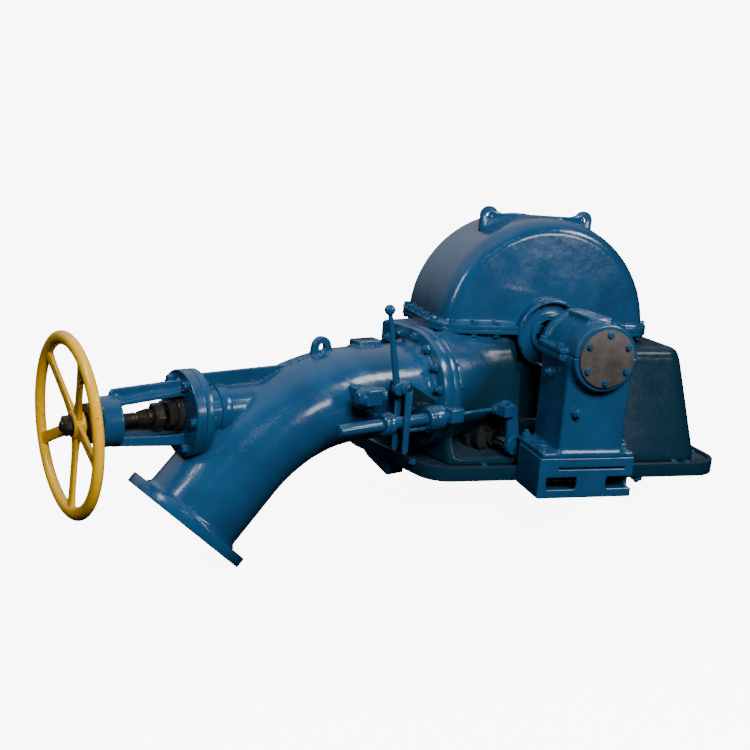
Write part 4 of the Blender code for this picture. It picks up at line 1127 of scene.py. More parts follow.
def bracket_skin(p, side):
    q = folded(p, side)
    body = brick(q, (-0.185, 0.4923, 0.0), (0.185, 0.685, 0.150), 0.004)
    body = carve(body, brick(q, (-0.171, 0.504, 0.014), (0.171, 0.671, 0.132), 0.010), 0.003)
    for x_low, x_high, z_low, z_high in ((-0.154, -0.036, 0.033, 0.078), (0.080, 0.230, 0.033, 0.078)):
        body = carve(body, brick(q, (x_low, 0.655, z_low), (x_high, 0.75, z_high), 0.008), 0.004)
    return carve(body, brick(q, (-0.112, 0.655, 0.107), (0.150, 0.75, 0.1145), 0.003), 0.002)


def pedestal_skin(p, side):
    q = folded(p, side)
    body = soft_union(brick(q, (-0.1165, 0.460, 0.1503), (0.1315, 0.681, 0.505), 0.012),
                      brick(q, (-0.178, 0.456, 0.1503), (0.178, 0.684, 0.168), 0.005), 0.020)
    body = soft_union(body, round_bar(q, "Y", (0.0, SHAFT_Z), 0.118, 0.462, 0.720, 0.004), 0.026)
    body = soft_union(body, brick(q, (-0.142, 0.463, 0.494), (0.142, 0.657, 0.540), 0.006), 0.012)
    body = np.maximum(body, q[:, 2] - (SHAFT_Z - 0.0006))
    return np.maximum(body, -round_bar(q, "Y", (0.0, SHAFT_Z), 0.036, 0.3, 0.9))


def cap_skin(p, side):
    q = folded(p, side)
    body = soft_union(round_bar(q, "Y", (0.0, SHAFT_Z), 0.118, 0.462, 0.720, 0.004),
                      brick(q, (-0.142, 0.463, 0.500), (0.142, 0.657, SHAFT_Z + 0.018), 0.005), 0.014)
    body = soft_union(body, round_bar(q, "Y", (0.0, SHAFT_Z), 0.130, 0.460, 0.490, 0.003), 0.010)
    body = soft_union(body, brick(q, (-0.045, 0.468, 0.50), (0.045, 0.652, SHAFT_Z + 0.131), 0.006), 0.014)
    body = np.maximum(body, SHAFT_Z + 0.0006 - q[:, 2])
    return np.maximum(body, -round_bar(q, "Y", (0.0, SHAFT_Z), 0.036, 0.3, 0.9))


for name, side in (("front", -1.0), ("rear", 1.0)):
    low_y, high_y = sorted((MID_Y + side * 0.45, MID_Y + side * 0.73))
    bracket = cast_shell(lambda p: bracket_skin(p, side), (-0.19, low_y, 0.0), (0.19, high_y, 0.155), 0.0042, 60000)
    piece(name + "_bracket_dressed", "casing", [(bracket, MACHINE, BLUE)], [name + "_bracket"])
    column = cast_shell(lambda p: pedestal_skin(p, side), (-0.18, low_y, 0.15), (0.18, high_y, 0.52), 0.0044, 60000)
    foot_nuts = [((x, MID_Y + side * d, 0.168), (0.0, 0.0, 1.0)) for x in (-0.158, 0.158) for d in (0.490, 0.630)]
    column_plugs = [((-0.1165, MID_Y + side * 0.565, 0.438), (-1.0, 0.0, 0.0)),
                    ((-0.072, MID_Y + side * 0.680, 0.316), (0.0, side, 0.0))]
    piece(name + "_pedestal_dressed", "casing",
          [(column, MACHINE, BLUE), (fasteners(foot_nuts, 0.034, 41, nut_pattern), MACHINE, BLUE),
           (fasteners(column_plugs, 0.034, 42, nut_pattern), MACHINE, BLUE)], [name + "_pedestal"])
    cap = cast_shell(lambda p: cap_skin(p, side), (-0.145, low_y, 0.51), (0.145, high_y, 0.65), 0.0044, 50000)
    wing_bolts = [((x, MID_Y + side * d, SHAFT_Z + 0.0178), (0.0, 0.0, 1.0)) for x in (-0.130, 0.130)
                  for d in (0.492, 0.628)]
    piece(name + "_cap_dressed", "casing",
          [(cap, MACHINE, BLUE), (fasteners(wing_bolts, 0.030, 43), MACHINE, BLUE)], [name + "_bearing_cap"])
    face = MID_Y + side * 0.7204
    inner = 0.0 if side < 0.0 else 0.037
    profile = [(face, inner), (face, 0.1020), (face + side * 0.0095, 0.1020), (face + side * 0.0095, inner)]
    disc = lathe(profile, "Y", (0.0, 0.0, SHAFT_Z), 96, 0.0012)
    cover_bolts = around("Y", face + side * 0.0095, 0.0845, 6, math.radians(90.0), (0.0, SHAFT_Z), side)
    piece(name + "_cover_dressed", "casing", [(disc, MACHINE, BROWN), (fasteners(cover_bolts, 0.020, 44), MACHINE, BLUE)],
          [name + "_bearing_cover"])

# %% [markdown]
# ## Runner and shaft
#
# The runner turns inside the casing and shows only through the open base. Its shape follows a rule,
# one cup repeated eighteen times round a disc. A small ring tree does that: it lays the pattern cup
# down as often as asked, each turned a step further about an axis. The handwheel's spokes use it too.

# %% The ring tree
def ring_tree():
    tree = bpy.data.node_groups.new("pattern_round_an_axis", "GeometryNodeTree")
    start, end = inputs_of(tree, [("Geometry", "NodeSocketGeometry"), ("Pattern", "NodeSocketObject"),
                                  ("Count", "NodeSocketInt"), ("Axis", "NodeSocketVector"),
                                  ("First Angle", "NodeSocketFloat"), ("Finish", "NodeSocketMaterial")])
    cloud = tree.nodes.new("GeometryNodePoints")
    tree.links.new(start.outputs["Count"], cloud.inputs["Count"])
    index = tree.nodes.new("GeometryNodeInputIndex")
    share = tree.nodes.new("ShaderNodeMath")
    share.operation = "DIVIDE"
    tree.links.new(index.outputs[0], share.inputs[0])
    tree.links.new(start.outputs["Count"], share.inputs[1])
    angle = tree.nodes.new("ShaderNodeMath")
    angle.operation = "MULTIPLY_ADD"
    angle.inputs[1].default_value = math.tau
    tree.links.new(share.outputs[0], angle.inputs[0])
    tree.links.new(start.outputs["First Angle"], angle.inputs[2])
    spin = tree.nodes.new("FunctionNodeAxisAngleToRotation")
    tree.links.new(start.outputs["Axis"], spin.inputs["Axis"])
    tree.links.new(angle.outputs[0], spin.inputs["Angle"])
    which = tree.nodes.new("GeometryNodeObjectInfo")
    tree.links.new(start.outputs["Pattern"], which.inputs["Object"])
    setting = tree.nodes.new("GeometryNodeInstanceOnPoints")
    tree.links.new(cloud.outputs[0], setting.inputs["Points"])
    tree.links.new(which.outputs["Geometry"], setting.inputs["Instance"])
    tree.links.new(spin.outputs[0], setting.inputs["Rotation"])
    finish_tree(tree, setting.outputs[0], start, end)
    return tree


RING = ring_tree()


def ring_of(pattern_mesh_made, count, axis, first_angle, finish):
    pattern = bpy.data.objects.new("pattern", pattern_mesh_made)
    seed_point = bpy.data.meshes.new("start")
    seed_point.from_pydata([(0.0, 0.0, 0.0)], [], [])
    made = run_tree(RING, seed_point, {"Pattern": pattern, "Count": count, "Axis": axis,
                                       "First Angle": first_angle, "Finish": finish})
    bpy.data.objects.remove(pattern)
    return made


# %% Runner and shaft
def cup_mesh():
    """Half an egg with a dished face, standing below the axis."""
    bm = bmesh.new()
    bmesh.ops.create_uvsphere(bm, u_segments=20, v_segments=14, radius=1.0)
    everything = bm.verts[:] + bm.edges[:] + bm.faces[:]
    bmesh.ops.bisect_plane(bm, geom=everything, plane_co=(0.12, 0.0, 0.0), plane_no=(1.0, 0.0, 0.0), clear_outer=True)
    filled = bmesh.ops.edgeloop_fill(bm, edges=[e for e in bm.edges if e.is_boundary])
    for thickness, depth in ((0.10, 0.0), (0.12, -0.28), (0.20, -0.20), (0.20, -0.06)):
        bmesh.ops.inset_region(bm, faces=filled["faces"], thickness=thickness)
        bmesh.ops.translate(bm, verts=filled["faces"][0].verts, vec=(depth, 0.0, 0.0))
    shape = Matrix.Translation((0.0, -0.030, -0.200)) @ Matrix.Diagonal((0.0255, 0.0475, 0.0515, 1.0))
    bmesh.ops.transform(bm, matrix=shape, verts=bm.verts)
    bmesh.ops.recalc_face_normals(bm, faces=bm.faces)
    made = bpy.data.meshes.new("cup")
    bm.to_mesh(made)
    bm.free()
    made.shade_smooth()
    made.set_sharp_from_angle(angle=math.radians(50.0))
    return made


SHAFT = MACHINE @ Matrix.Translation((0.0, MID_Y, SHAFT_Z))
runner_disc = lathe([(-0.060, 0.0453), (-0.060, 0.085), (-0.040, 0.090), (-0.040, 0.158), (-0.008, 0.158), (-0.008, 0.090),
                     (0.000, 0.085), (0.000, 0.0453)], "Y", segments=72, edge=0.002)
cups = ring_of(cup_mesh(), 18, (0.0, 1.0, 0.0), 0.0, BRONZE)
piece("runner_dressed", "rotor", [(runner_disc, SHAFT, BRONZE), (cups, SHAFT, BRONZE)], ["bucket_wheel"])
shaft = lathe([(-0.650, 0.0), (-0.650, 0.035), (-0.060, 0.035), (-0.060, 0.045), (0.060, 0.045), (0.060, 0.035),
               (0.856, 0.035), (0.860, 0.031), (0.860, 0.0)], "Y", segments=64, edge=0.0008)
piece("shaft_dressed", "rotor", [(shaft, SHAFT, STEEL)], ["main_shaft"])

# %% [markdown]
# ## Inlet elbow and guide tube
#
# The elbow is a wide pipe that bends upward into the nozzle line. A guide tube for the needle rod
# enters it straight through the bend, with a rib on its back. Sweeping a circle along a path and
# joining the tube by Boolean would leave a knife-sharp line where the real part has a welded,
# ground and painted fillet. So pipe and tube are distances to their centre lines, softly joined.

# %% Elbow skin
BEND_DROP = math.radians(46.0)
BEND_R, BEND_CORNER = 0.620, -1.150
TUBE_R, ELBOW_FLANGE_U = 0.078, -0.616
INLET_END, INLET_THICK = -0.530, 0.036
bend_start = BEND_CORNER + BEND_R * math.tan(BEND_DROP / 2.0)
LEG = LINE @ Matrix.Translation((BEND_CORNER, 0.0, 0.0)) @ Matrix.Rotation(-BEND_DROP, 4, "Y")


def pipe_line_distance(p):
    """Distance to the pipe's centre line: straight, arc, straight."""
    u, t, w = p[:, 0], p[:, 1], p[:, 2]
    level_part = np.hypot(u - np.clip(u, bend_start, -0.30), w)
    angle = np.clip(np.arctan2(bend_start - u, w + BEND_R), 0.0, BEND_DROP)
    arc_part = np.hypot(u - bend_start + BEND_R * np.sin(angle), w + BEND_R - BEND_R * np.cos(angle))
    end_u, end_w = bend_start - BEND_R * math.sin(BEND_DROP), BEND_R * (math.cos(BEND_DROP) - 1.0)
    c, s = math.cos(BEND_DROP), math.sin(BEND_DROP)
    down_leg = np.clip((end_u - u) * c + (end_w - w) * s, 0.0, 0.8)
    leg_part = np.hypot(u - end_u + down_leg * c, w - end_w + down_leg * s)
    return np.hypot(np.minimum(np.minimum(level_part, arc_part), leg_part), t)


eye_shape = [(-1.060, 0.125), (-1.050, 0.170)]
eye_shape += [(-1.010 + 0.038 * math.cos(a), 0.182 + 0.038 * math.sin(a))
              for a in (math.radians(160.0 - 17.5 * k) for k in range(9))]
eye_shape += [(-0.966, 0.168), (-0.962, 0.150), (-0.970, 0.120)]


def elbow_skin(p):
    reach = pipe_line_distance(p)
    body = soft_union(reach - PIPE_R, round_bar(p, "X", (0.0, 0.0), TUBE_R, -1.4925, -1.05), 0.010)
    neck = round_bar(p, "X", (0.0, 0.0), PIPE_R + 0.011, ELBOW_FLANGE_U - 0.010, -0.575)
    rim = round_bar(p, "X", (0.0, 0.0), FLANGE_R - 0.002, ELBOW_FLANGE_U + 0.001, -0.573, 0.002)
    body = soft_union(body, soft_union(neck, rim, 0.004), 0.022)
    body = soft_union(body, brick(p, (-0.850, -0.005, 0.120), (-0.746, 0.058, 0.192), 0.003), 0.003)
    leg = turned_frame(p, (BEND_CORNER, 0.0), BEND_DROP)
    collar = round_bar(leg, "X", (0.0, 0.0), PIPE_R + 0.009, INLET_END + 0.002, INLET_END + INLET_THICK + 0.006)
    body = soft_union(body, collar, 0.014)
    body = np.maximum(body, BORE_R - reach)
    body = np.maximum(body, -round_bar(p, "X", (0.0, 0.0), 0.030, -1.8, -0.8))
    return np.maximum(np.maximum(body, p[:, 0] + 0.5715), INLET_END + 0.001 - leg[:, 0])


elbow = cast_shell(elbow_skin, (-1.64, -0.235, -0.50), (-0.56, 0.235, 0.235), 0.0060, 130000)


def eye_skin(p):
    body = slab_field(p, eye_shape, "Y", -0.011, 0.011, 0.004)
    return carve(body, round_bar(p, "Y", (-1.010, 0.182), 0.013, -0.1, 0.1), 0.003)


eye = cast_shell(eye_skin, (-1.065, -0.014, 0.110), (-0.955, 0.014, 0.225), 0.0022, 20000)

# %% Flanges, fasteners and welds of the elbow
outlet_flange = lathe([(ELBOW_FLANGE_U, BORE_R), (ELBOW_FLANGE_U, FLANGE_R), (JOINT_U, FLANGE_R), (JOINT_U, BORE_R)],
                      "X", segments=96, edge=0.0016)
inlet_holes = [circle(0.0115, (0.2005 * math.cos(a), 0.2005 * math.sin(a)), 20)
               for a in (math.radians(15.0 + 30.0 * k) for k in range(12))]
inlet_flange = plate(circle(FLANGE_R, count=120), [circle(BORE_R, count=96)] + inlet_holes, INLET_END,
                     INLET_END + INLET_THICK, "X", 0.0018)
guide_flange = lathe([(-1.505, 0.030), (-1.505, 0.140), (-1.4805, 0.140), (-1.4805, 0.100), (-1.472, 0.090),
                      (-1.458, TUBE_R + 0.002), (-1.458, 0.030)], "X", segments=72, edge=0.0014)
collar = lathe([(-1.424, TUBE_R - 0.004), (-1.424, 0.0855), (-1.405, 0.0865), (-1.388, 0.0855), (-1.388, TUBE_R - 0.004)],
               "X", segments=64, edge=0.003)
outlet_bolts = fasteners(around("X", ELBOW_FLANGE_U, 0.207, 16, flange_turn, aim=-1.0), 0.032, 51, nut_pattern)
guide_nuts = fasteners(around("X", -1.4803, 0.118, 6, 0.0), 0.024, 52)


def on_pipe(u, t):
    """Highest point of the pipe's skin at a place along and across the line."""
    heights = np.linspace(0.20, -0.20, 801)
    reach = pipe_line_distance(np.stack((np.full(801, u), np.full(801, t), heights), 1))
    return (u, t, float(heights[np.argmax(reach <= PIPE_R)]))


rib_foot = [(u, max(TUBE_R, on_pipe(u, 0.0)[2]) - 0.008) for u in np.linspace(-1.030, -1.468, 24)]
rib = plate([(-1.468, 0.124), (-1.110, 0.130), (-1.050, 0.158), (-1.030, 0.158)] + rib_foot, [], -0.009, 0.009, "Y", 0.0015)


pad_ring = [on_pipe(u, t) for u, t in
            [(-0.852 + 0.108 * k / 20, -0.007) for k in range(21)] + [(-0.744, -0.007 + 0.067 * k / 14) for k in range(15)]
            + [(-0.744 - 0.108 * k / 20, 0.060) for k in range(21)] + [(-0.852, 0.060 - 0.067 * k / 14) for k in range(15)]]
tube_top = math.sqrt(TUBE_R ** 2 - 0.0105 ** 2)
rib_lines = [[(u, side * 0.0105, max(tube_top, on_pipe(u, side * 0.0105)[2]) + 0.0005)
              for u in np.linspace(-1.462, -1.045, 80)] for side in (-1.0, 1.0)]
eye_lines = [[on_pipe(u, side * 0.0125) for u in np.linspace(-1.056, -0.966, 30)] for side in (-1.0, 1.0)]
welds = bead(rib_lines + eye_lines, 0.0036, 53)
pad_weld = bead([pad_ring], 0.0052, 54, 2.6, True)
piece("elbow_dressed", "casing",
      [(elbow, LINE, BLUE), (rib, LINE, BLUE), (eye, LINE, BLUE), (outlet_flange, LINE, TURNED_BLUE), (inlet_flange, LEG, TURNED_BLUE),
       (guide_flange, LINE, TURNED_BLUE), (collar, LINE, BLUE), (outlet_bolts, LINE, BLUE), (guide_nuts, LINE, BLUE),
       (welds, LINE, BLUE), (pad_weld, LINE, BLUE)],
      ["inlet_elbow", "inlet_leg", "guide_tube", "lifting_eye"])

# %% [markdown]
# ## Yoke, gland and handwheel
#
# The yoke is an open bracket: a flange, two arms of T section and a nose that holds the screw's
# sleeve. Fillets run along every arm, so it too is a field, on a fine grid. The gland is turned.
# The handwheel's rim is a lathe profile, an oval run round the axis, and its five flat spokes are
# one lofted pattern with flared ends, laid round the hub by the ring tree.

# %% Yoke and gland
def yoke_skin(p):
    nose = round_bar(p, "X", (0.0, 0.0), 0.078, -1.806, -1.744, 0.006)
    flange = round_bar(p, "X", (0.0, 0.0), 0.140, -1.539, -1.5056, 0.002)
    body = np.minimum(nose, flange)
    for side, far in ((1.0, 0.099), (-1.0, 0.081)):
        web = [(-1.765, 0.050), (-1.765, far - 0.010), (-1.757, far), (-1.520, 0.110), (-1.520, 0.080), (-1.730, 0.056)]
        sole = [(-1.756, 0.050), (-1.744, 0.066), (-1.520, 0.086), (-1.520, 0.066), (-1.545, 0.066), (-1.744, 0.053)]
        if side < 0.0:
            sole = [(-1.756, 0.044), (-1.744, 0.073), (-1.520, 0.097), (-1.520, 0.060), (-1.545, 0.060), (-1.744, 0.044)]
        arm = soft_union(slab_field(p, [(u, side * w) for u, w in web], "Y", -0.009, 0.009, 0.003),
                         slab_field(p, [(u, side * w) for u, w in sole], "Y", -0.040, 0.040, 0.004), 0.010)
        body = soft_union(body, arm, 0.012)
    body = np.maximum(body, -round_bar(p, "X", (0.0, 0.0), 0.0264, -2.0, -1.4, 0.001))
    return np.maximum(body, PIPE_R + 0.001 - pipe_line_distance(p))


yoke = cast_shell(yoke_skin, (-1.81, -0.142, -0.142), (-1.50, 0.142, 0.142), 0.0031, 90000)
yoke_bolts = around("X", -1.539, 0.118, 6, 0.0, aim=-1.0)
# A black half-round sheet under the screw, in oiled black steel: partly the yoke's grease, partly a painted shadow for
# its dark hollow.
shade_sheet_arc = [math.radians(-12.0 - 113.0 * k / 20) for k in range(21)]
dark_shade_sheet = plate([(0.0625 * math.cos(a), 0.0625 * math.sin(a)) for a in shade_sheet_arc]
              + [(0.0596 * math.cos(a), 0.0596 * math.sin(a)) for a in reversed(shade_sheet_arc)], [], -1.748, -1.5395, "X", 0.0006)
piece("yoke_dressed", "casing",
      [(yoke, LINE, BLUE), (fasteners(yoke_bolts, 0.027, 61), LINE, BLUE), (dark_shade_sheet, LINE, BLACK)], ["yoke"])
gland = lathe([(-1.5840, 0.0195), (-1.5840, 0.038), (-1.5800, 0.042), (-1.564, 0.043), (-1.560, 0.043), (-1.560, 0.055),
               (-1.557, 0.058), (-1.5400, 0.058), (-1.5400, 0.0250), (-1.470, 0.0250), (-1.470, 0.0195)],
              "X", segments=56, edge=0.0008)
piece("gland_dressed", "casing", [(gland, LINE, BLACK)], ["gland"])

# %% Handwheel
HUB = LINE @ Matrix.Translation((-1.866, 0.0, 0.0))
WHEEL_R, RIM_R, DISH = 0.2612, 0.0212, -0.026
rim = lathe([(DISH + 0.74 * RIM_R * math.sin(b), WHEEL_R + RIM_R * math.cos(b))
             for b in (math.tau * (k + 0.5) / 20 for k in range(20))], "X", segments=120, edge=0.0)
rim.shade_smooth()


def spoke_mesh():
    """One flat spoke from hub to rim, flared at both ends, as rings of a soft rectangle."""
    bm = bmesh.new()
    loops = []
    for k in range(19):
        share = k / 18.0
        height = 0.030 + (WHEEL_R - 0.008 - 0.030) * share
        flare = math.exp(-share * 9.0) + math.exp(-(1.0 - share) * 13.0)
        half_wide = 0.0182 + 0.0070 * flare
        half_thick = 0.0066 + 0.0050 * flare
        middle = DISH * share
        loop = []
        for i in range(20):
            b = math.tau * i / 20
            ca, sa = math.cos(b), math.sin(b)
            loop.append(bm.verts.new((middle + half_thick * math.copysign(abs(ca) ** 0.55, ca),
                                      half_wide * math.copysign(abs(sa) ** 0.42, sa), height)))
        loops.append(loop)
    for one, two in zip(loops, loops[1:]):
        for i in range(20):
            bm.faces.new((one[i], one[(i + 1) % 20], two[(i + 1) % 20], two[i]))
    bm.faces.new(loops[0][::-1])
    bm.faces.new(loops[-1])
    bmesh.ops.recalc_face_normals(bm, faces=bm.faces)
    made = bpy.data.meshes.new("spoke")
    bm.to_mesh(made)
    bm.free()
    made.shade_smooth()
    return made


spokes = ring_of(spoke_mesh(), 5, (1.0, 0.0, 0.0), math.radians(-42.0), YELLOW)
hub = lathe([(-0.016, 0.0257), (-0.016, 0.036), (-0.012, 0.043), (-0.004, 0.0458), (0.010, 0.0458), (0.017, 0.043),
             (0.020, 0.038), (0.020, 0.0257)], "X", segments=56, edge=0.001)
piece("handwheel_dressed", "handwheel_set", [(rim, HUB, YELLOW), (spokes, HUB, YELLOW), (hub, HUB, YELLOW)],
      ["handwheel"])
sleeve_end = -1.806 + 1.866
sleeve = lathe([(-0.016, 0.0193), (-0.016, 0.0250), (0.0206, 0.0250), (0.0206, 0.0300), (sleeve_end - 0.034, 0.0300),
                (sleeve_end - 0.034, 0.0600), (sleeve_end - 0.031, 0.0620), (sleeve_end - 0.009, 0.0620),
                (sleeve_end - 0.006, 0.0600), (sleeve_end - 0.006, 0.0250), (sleeve_end + 0.060, 0.0250),
                (sleeve_end + 0.060, 0.0193)], "X", segments=56, edge=0.0008)
piece("sleeve_dressed", "handwheel_set", [(sleeve, HUB, BLACK)], ["screw_sleeve"])
nut_washer = lathe([(-0.0190, 0.0160), (-0.0190, 0.0335), (-0.0163, 0.0340), (-0.0163, 0.0160)], "X", segments=40,
                   edge=0.0005)
nut_body = lathe([(-0.0400, 0.0160), (-0.0400, 0.0290), (-0.0370, 0.0325), (-0.0192, 0.0325), (-0.0192, 0.0160)],
                 "X", segments=6, edge=0.0006)
nut_dome = lathe([(-0.0498, 0.0), (-0.0490, 0.010), (-0.0460, 0.0165), (-0.0410, 0.0195), (-0.0395, 0.0195),
                  (-0.0395, 0.0)], "X", segments=32, edge=0.0)
nut_dome.shade_smooth()
piece("hub_nut_dressed", "handwheel_set", [(nut_washer, HUB, BLACK), (nut_body, HUB, BLACK), (nut_dome, HUB, BLACK)],
      ["wheel_nut"])

# %% [markdown]
# ## Needle train
#
# The handwheel turns a sleeve, and the sleeve's thread draws a screw that cannot turn. The screw is
# coupled to the needle rod by a six-sided block. Only a few turns of its thread show between the
# yoke's arms, but a spanner-cut block and a true thread are what make the open yoke look worked.

# %% Screw, coupling and needle
screw_core = lathe([(-1.850, 0.0), (-1.850, 0.0130), (-1.792, 0.0130), (-1.792, 0.0168), (-1.684, 0.0168),
                    (-1.682, 0.0150), (-1.678, 0.0150), (-1.676, 0.0205), (-1.657, 0.0245), (-1.656, 0.0225),
                    (-1.653, 0.0225), (-1.652, 0.0265), (-1.640, 0.0265), (-1.638, 0.0230), (-1.6301, 0.0230),
                    (-1.6301, 0.0)], "X", segments=40, edge=0.0008)
screw_thread = thread(0.0166, 0.0060, -1.788, -1.686, BLACK)
piece("screw_dressed", "needle_train", [(screw_core, LINE, BLACK), (screw_thread, LINE, BLACK)], ["adjusting_screw"])
block = lathe([(-1.6297, 0.0), (-1.6297, 0.0390), (-1.6257, 0.0430), (-1.6000, 0.0430), (-1.5960, 0.0390), (-1.5960, 0.0)],
              "X", segments=6, edge=0.0010)
piece("coupling_dressed", "needle_train", [(block, LINE, BLACK)], ["rod_coupling"])
needle = lathe([(-1.5957, 0.0), (-1.5957, 0.0180), (-0.520, 0.0180), (-0.495, 0.0262), (-0.470, 0.0336), (-0.450, 0.0364),
                (-0.430, 0.0368), (-0.410, 0.0336), (-0.390, 0.0276), (-0.370, 0.0188), (-0.355, 0.0098), (-0.345, 0.0)],
               "X", segments=48, edge=0.0)
needle.set_sharp_from_angle(angle=math.radians(40.0))
piece("needle_dressed", "needle_train", [(needle, LINE, ROD_STEEL)], ["needle"])

# %% [markdown]
# ## Deflector gear
#
# A hand lever moves a bar that slides in two guides, and a thin link passes the motion to a crank on
# the deflector's shaft. The guides are bosses on arms that are welded to the elbow, the lever is a
# round handle on a fork of two flat straps, and the crank is forged. Bosses are turned, straps and
# gusset are flat plates with rounded edges, and the cast arms are fields with fillets.

# %% Guides
def arm_skin(p, u_low, u_high, w_low, w_high, boss_r):
    """Arm from a guide's boss to the pipe, hollowed by the bar's way."""
    body = soft_union(brick(p, (u_low, GEAR_T + 0.012, w_low), (u_high, -0.100, w_high), 0.005),
                      round_bar(p, "X", (GEAR_T, BAR_W), boss_r - 0.0015, u_low - 0.003, u_high + 0.003, 0.003), 0.012)
    body = np.maximum(body, PIPE_R - 0.003 - pipe_line_distance(p))
    return np.maximum(body, -round_bar(p, "X", (GEAR_T, BAR_W), 0.0224, -1.1, -0.6))


def guide_ring(steps, radius):
    """Turned boss about the bar; steps lists (place, how far below the full radius)."""
    profile = [(steps[0][0], 0.0223)] + [(u, radius - less) for u, less in steps] + [(steps[-1][0], 0.0223)]
    return lathe(profile, "X", (0.0, GEAR_T, BAR_W), 64, 0.0008)


def foot_weld(u_low, u_high, w_low, w_high, seed):
    """Bead round an arm's foot on the level pipe."""
    loop = [(u_low + (u_high - u_low) * k / 10, w_low) for k in range(11)]
    loop += [(u_high, w_low + (w_high - w_low) * k / 10) for k in range(1, 11)]
    loop += [(u_high - (u_high - u_low) * k / 10, w_high) for k in range(1, 11)]
    loop += [(u_low, w_high - (w_high - w_low) * k / 10) for k in range(1, 10)]
    return bead([[(u, -math.sqrt(PIPE_R ** 2 - w * w), w) for u, w in loop]], 0.0042, seed, 2.0, True)


left_arm = cast_shell(lambda p: arm_skin(p, -0.922, -0.892, BAR_W - 0.018, BAR_W + 0.022, 0.038),
                      (-0.932, -0.31, -0.085), (-0.882, -0.145, 0.005), 0.0026, 16000)
left_boss = guide_ring([(-0.929, 0.006), (-0.926, 0.002), (-0.912, 0.002), (-0.9115, 0.006), (-0.9085, 0.006), (-0.908, 0.0),
                        (-0.891, 0.0), (-0.888, 0.004)], 0.040)
piece("left_guide_dressed", "casing",
      [(left_arm, LINE, BLUE), (left_boss, LINE, BLUE),
       (foot_weld(-0.924, -0.890, BAR_W - 0.020, BAR_W + 0.024, 71), LINE, BLUE)], ["left_guide"])
right_arm = cast_shell(lambda p: arm_skin(p, -0.722, -0.678, BAR_W - 0.021, BAR_W + 0.025, 0.044),
                       (-0.732, -0.315, -0.09), (-0.668, -0.145, 0.01), 0.0026, 18000)
right_boss = guide_ring([(-0.735, 0.007), (-0.733, 0.005), (-0.722, 0.005), (-0.7215, 0.0), (-0.713, 0.0), (-0.712, 0.003),
                         (-0.708, 0.003), (-0.707, 0.0), (-0.669, 0.0), (-0.665, 0.004)], 0.044)
PIVOT_U, PIVOT_W = -0.842, 0.084
gusset_shape = rounded([(-0.658, 0.005), (-0.690, -0.052), (-0.730, -0.052), (-0.872, 0.062), (-0.872, 0.102),
                        (-0.820, 0.102)], 0.004, 4)
gusset = plate(gusset_shape, [], GEAR_T + 0.0302, GEAR_T + 0.0418, "Y", 0.0014)
pin = lathe([(GEAR_T - 0.0298, 0.0), (GEAR_T - 0.0298, 0.0095), (GEAR_T - 0.0283, 0.0109), (GEAR_T + 0.033, 0.0109),
             (GEAR_T + 0.033, 0.0)], "Y", (PIVOT_U, 0.0, PIVOT_W), 40, 0.0006)
side_rod = lathe([(-0.806, 0.0), (-0.806, 0.0078), (-0.8045, 0.0092), (-0.716, 0.0092), (-0.716, 0.0)], "X",
                 (0.0, GEAR_T + 0.004, -0.0745), 36, 0.0)
side_rod.set_sharp_from_angle(angle=math.radians(40.0))
side_lug = plate(rounded([(-0.733, -0.088), (-0.705, -0.088), (-0.705, -0.055), (-0.733, -0.055)], 0.008, 4), [],
                 GEAR_T - 0.010, GEAR_T + 0.016, "Y", 0.002)
# The gusset wears the painted-shadow blue enamel.
piece("right_guide_dressed", "casing",
      [(right_arm, LINE, BLUE), (right_boss, LINE, BLUE), (gusset, LINE, PAINTED_SHADOW_BLUE), (pin, LINE, STEEL), (side_rod, LINE, BLUE),
       (side_lug, LINE, BLUE), (foot_weld(-0.724, -0.676, BAR_W - 0.023, BAR_W + 0.027, 72), LINE, BLUE)],
      ["right_guide"])

# %% Stop plug
plug_axis = (0.0, GEAR_T + 0.020, 0.058)
plug_body = lathe([(-1.024, 0.0), (-1.024, 0.018), (-1.020, 0.0235), (-1.014, 0.0265), (-1.011, 0.0280), (-0.930, 0.0280),
                   (-0.928, 0.0252), (-0.925, 0.0252), (-0.923, 0.0280), (-0.914, 0.0280), (-0.910, 0.025), (-0.910, 0.019),
                   (-0.915, 0.0165), (-0.915, 0.0)], "X", plug_axis, 56, 0.0008)


def plug_arm_skin(p):
    body = brick(p, (-0.990, GEAR_T + 0.014, 0.040), (-0.940, -0.095, 0.078), 0.006)
    body = soft_union(body, brick(p, (-1.000, GEAR_T - 0.012, 0.030), (-0.932, GEAR_T + 0.050, 0.088), 0.009), 0.012)
    return np.maximum(body, PIPE_R - 0.003 - pipe_line_distance(p))


plug_arm = cast_shell(plug_arm_skin, (-1.008, -0.285, 0.02), (-0.924, -0.10, 0.098), 0.0028, 18000)
piece("stop_plug_dressed", "casing", [(plug_body, LINE, BLUE), (plug_arm, LINE, BLUE)], ["stop_plug"])

# %% Hand lever
LEVER = LINE @ Matrix.Translation((PIVOT_U, GEAR_T, PIVOT_W))


def strap_outline(count=10):
    """Flat strap with round ends from the pivot down to its lower tip."""
    top, low = Vector((0.0, 0.0)), Vector((-0.0010, -0.2190))
    way = (low - top).normalized()
    across = Vector((-way.y, way.x))
    out = []
    for centre, radius, start in ((top, 0.0150, 0.0), (low, 0.0115, math.pi)):
        for k in range(count + 1):
            a = start + math.pi * k / count
            out.append(tuple(centre + radius * (across * math.cos(a) - way * math.sin(a))))
    return out


